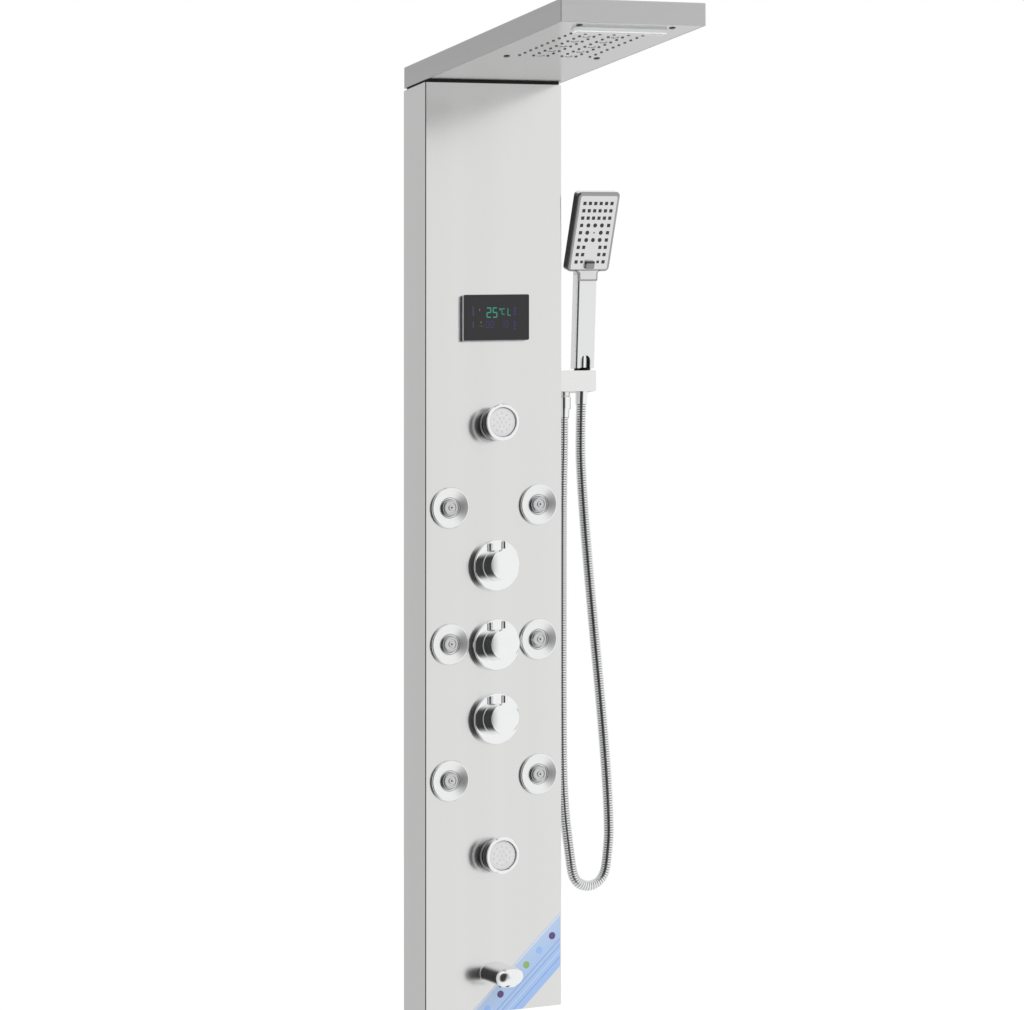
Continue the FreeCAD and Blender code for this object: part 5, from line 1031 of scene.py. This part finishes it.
# Rubber caps stand on the face in even rows: square ones at the sides, top and foot, and a ring of round ones
# about the middle. The two beside the lever are smaller, so that it clears them as it swings.
CAP_PITCH, CAP_ROW, FIELD_MIDDLE = 0.0081, 0.0098, 0.0523
CAP_WIDE, BESIDE_LEVER, ROUND_CAP, MIDDLE_CAP = 0.0046, 0.0037, 0.0029, 0.0010
square_places = [(x, row) for row in (4, 3, 2) for x in (-2.5, -1.5, -0.5, 0.5, 1.5, 2.5)]
square_places += [(x, row) for row in (1, 0, -1) for x in (-2.5, 2.5)]
square_places += [(x, row) for row in (-2, -3, -4) for x in (-2.5, -1.5, 1.5, 2.5)]
round_places = [(-1.25, 1), (0, 1), (1.25, 1), (-1.25, 0), (1.25, 0), (-1.25, -1), (0, -1), (1.25, -1)]
caps = []
for x, row in square_places:
    wide = BESIDE_LEVER if row == -4 and abs(x) < 2 else CAP_WIDE
    caps.append(bar(x * CAP_PITCH, FIELD_MIDDLE + row * CAP_ROW, wide, wide))
caps += [disc(x * CAP_PITCH, FIELD_MIDDLE + row * CAP_ROW, ROUND_CAP, 12) for x, row in round_places]
caps.append(disc(0, FIELD_MIDDLE, MIDDLE_CAP, 12))
cap_steps = ((0.00002, 1), (0.0005, 0.97), (0.0009, 0.86))
face_ways = (ACROSS, FACE_UP, FACE_OUT)
standing("handset_caps", caps, cap_steps, FACE_FOOT, *face_ways, [rubber], body="handset", slot="dark_rubber")

# A thin pale panel with round corners lies on the face plate, inside its bevel, which is painted grey as a
# painted reflection, and under the caps.
PANEL_HALF_WIDE, PANEL_HALF_TALL, PANEL_ROUND = 0.0274, 0.0491, 0.0025
panel_outline = round_cornered(PANEL_HALF_WIDE, PANEL_HALF_TALL, PANEL_ROUND) + (0, FIELD_MIDDLE)
panel_steps = ((-0.0001, 1), (0.00025, 1))
on_shell = {"body": "handset", "slot": "satin_plastic"}
standing("handset_panel", [panel_outline], panel_steps, FACE_FOOT, *face_ways, [plate_pale], **on_shell)

# The tongue carries the face's outline over the top of the handle: a rim painted grey, a painted reflection
# like the face's bevel, round a pale plate.
TONGUE_WIDE, TONGUE_LONG, TONGUE_ROUND, TONGUE_INSET = 0.029, 0.0125, 0.0045, 0.0022
TONGUE_TOP, TONGUE_CORNER, TONGUE_SUNK = 0.0012, 0.0016, 0.0006


def tongue(inset):
    """The tongue's outline, drawn in by an inset at its sides and foot: straight sides with small round
    corners at the foot, and quarter-round hollows that widen it at the top."""
    half, foot, corner = TONGUE_WIDE / 2 - inset, inset - TONGUE_LONG, TONGUE_CORNER
    turn = np.linspace(0, np.pi / 2, 7)
    hollow = TONGUE_ROUND * np.stack([1 - np.cos(turn), np.sin(turn)], axis=1)
    top = hollow + (half, TONGUE_TOP - TONGUE_ROUND)
    bottom = np.stack([half - corner + corner * np.sin(turn), foot + corner - corner * np.cos(turn)], axis=1)
    right_half = np.concatenate([bottom, top])
    return np.concatenate([right_half, right_half[::-1] * (-1, 1)])


tongue_foot = HANDLE_FOOT + (HANDLE_FRONT - TONGUE_SUNK) * HANDLE_OUT + HANDLE_LONG * HANDLE_UP
tongue_ways = (ACROSS, HANDLE_UP, HANDLE_OUT)
rim_steps = ((-0.0010, 1), (0.0006, 1), (0.0010, 0.97))
standing("tongue_rim", [tongue(0)], rim_steps, tongue_foot, *tongue_ways, [bevel_painted_reflection], **on_shell)
plate_steps, plate_outline = ((0.0008, 1), (0.0012, 1), (0.0014, 0.97)), tongue(TONGUE_INSET)
standing("tongue_plate", [plate_outline], plate_steps, tongue_foot, *tongue_ways, [plate_pale], **on_shell)

# The lever's end is darker than its arm.
LEVER_LOW, LEVER_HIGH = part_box("handset_selector")
LEVER_END = 0.0040
lever_grey = moulded("lever_grey", (0.24, 0.24, 0.24), 0.3)
end_low = (LEVER_LOW.x - PAST_PIECE, -0.1, LEVER_HIGH.z - LEVER_END)
trimmed(lever_grey, end_low, (LEVER_HIGH.x + PAST_PIECE, 0.0, LEVER_HIGH.z + PAST_PIECE), (0.02, 0.02, 0.02))
dress(lever_grey, "handset_selector")

# ---- pipes, nuts and brackets behind the casing --------------------------------------------------
# Grey supply tubes run from a brass valve body to every outlet. Brass nuts hold what passes through the
# casing, and two steel brackets hang it on the wall.

brass = moulded("machined_brass", (0.62, 0.47, 0.22), 0.30, metallic=1.0, strength=0.1)
dress(brass, "valve_manifold", "valve_locknuts", "panel_locknuts", "pipe_locknuts")
tube_grey = moulded("tube_grey", (0.45, 0.46, 0.47), 0.45)
dress(tube_grey, "jet_supply_tubes", "upper_spray_tube", "lower_supply_tube", "rain_riser", "waterfall_riser")
dress(tube_grey, "hand_shower_tube")
dress(moulded("generator_black", (0.05, 0.05, 0.055), 0.4), "turbine_generator")
bracket_steel = brushed_steel(
    "bracket_steel", pale=(0.60, 0.61, 0.62), deep=(0.52, 0.53, 0.54), hairs=(40, 700, 700), bands=(3, 30, 30)
)
dress(bracket_steel, "wall_bracket_upper", "wall_bracket_lower")
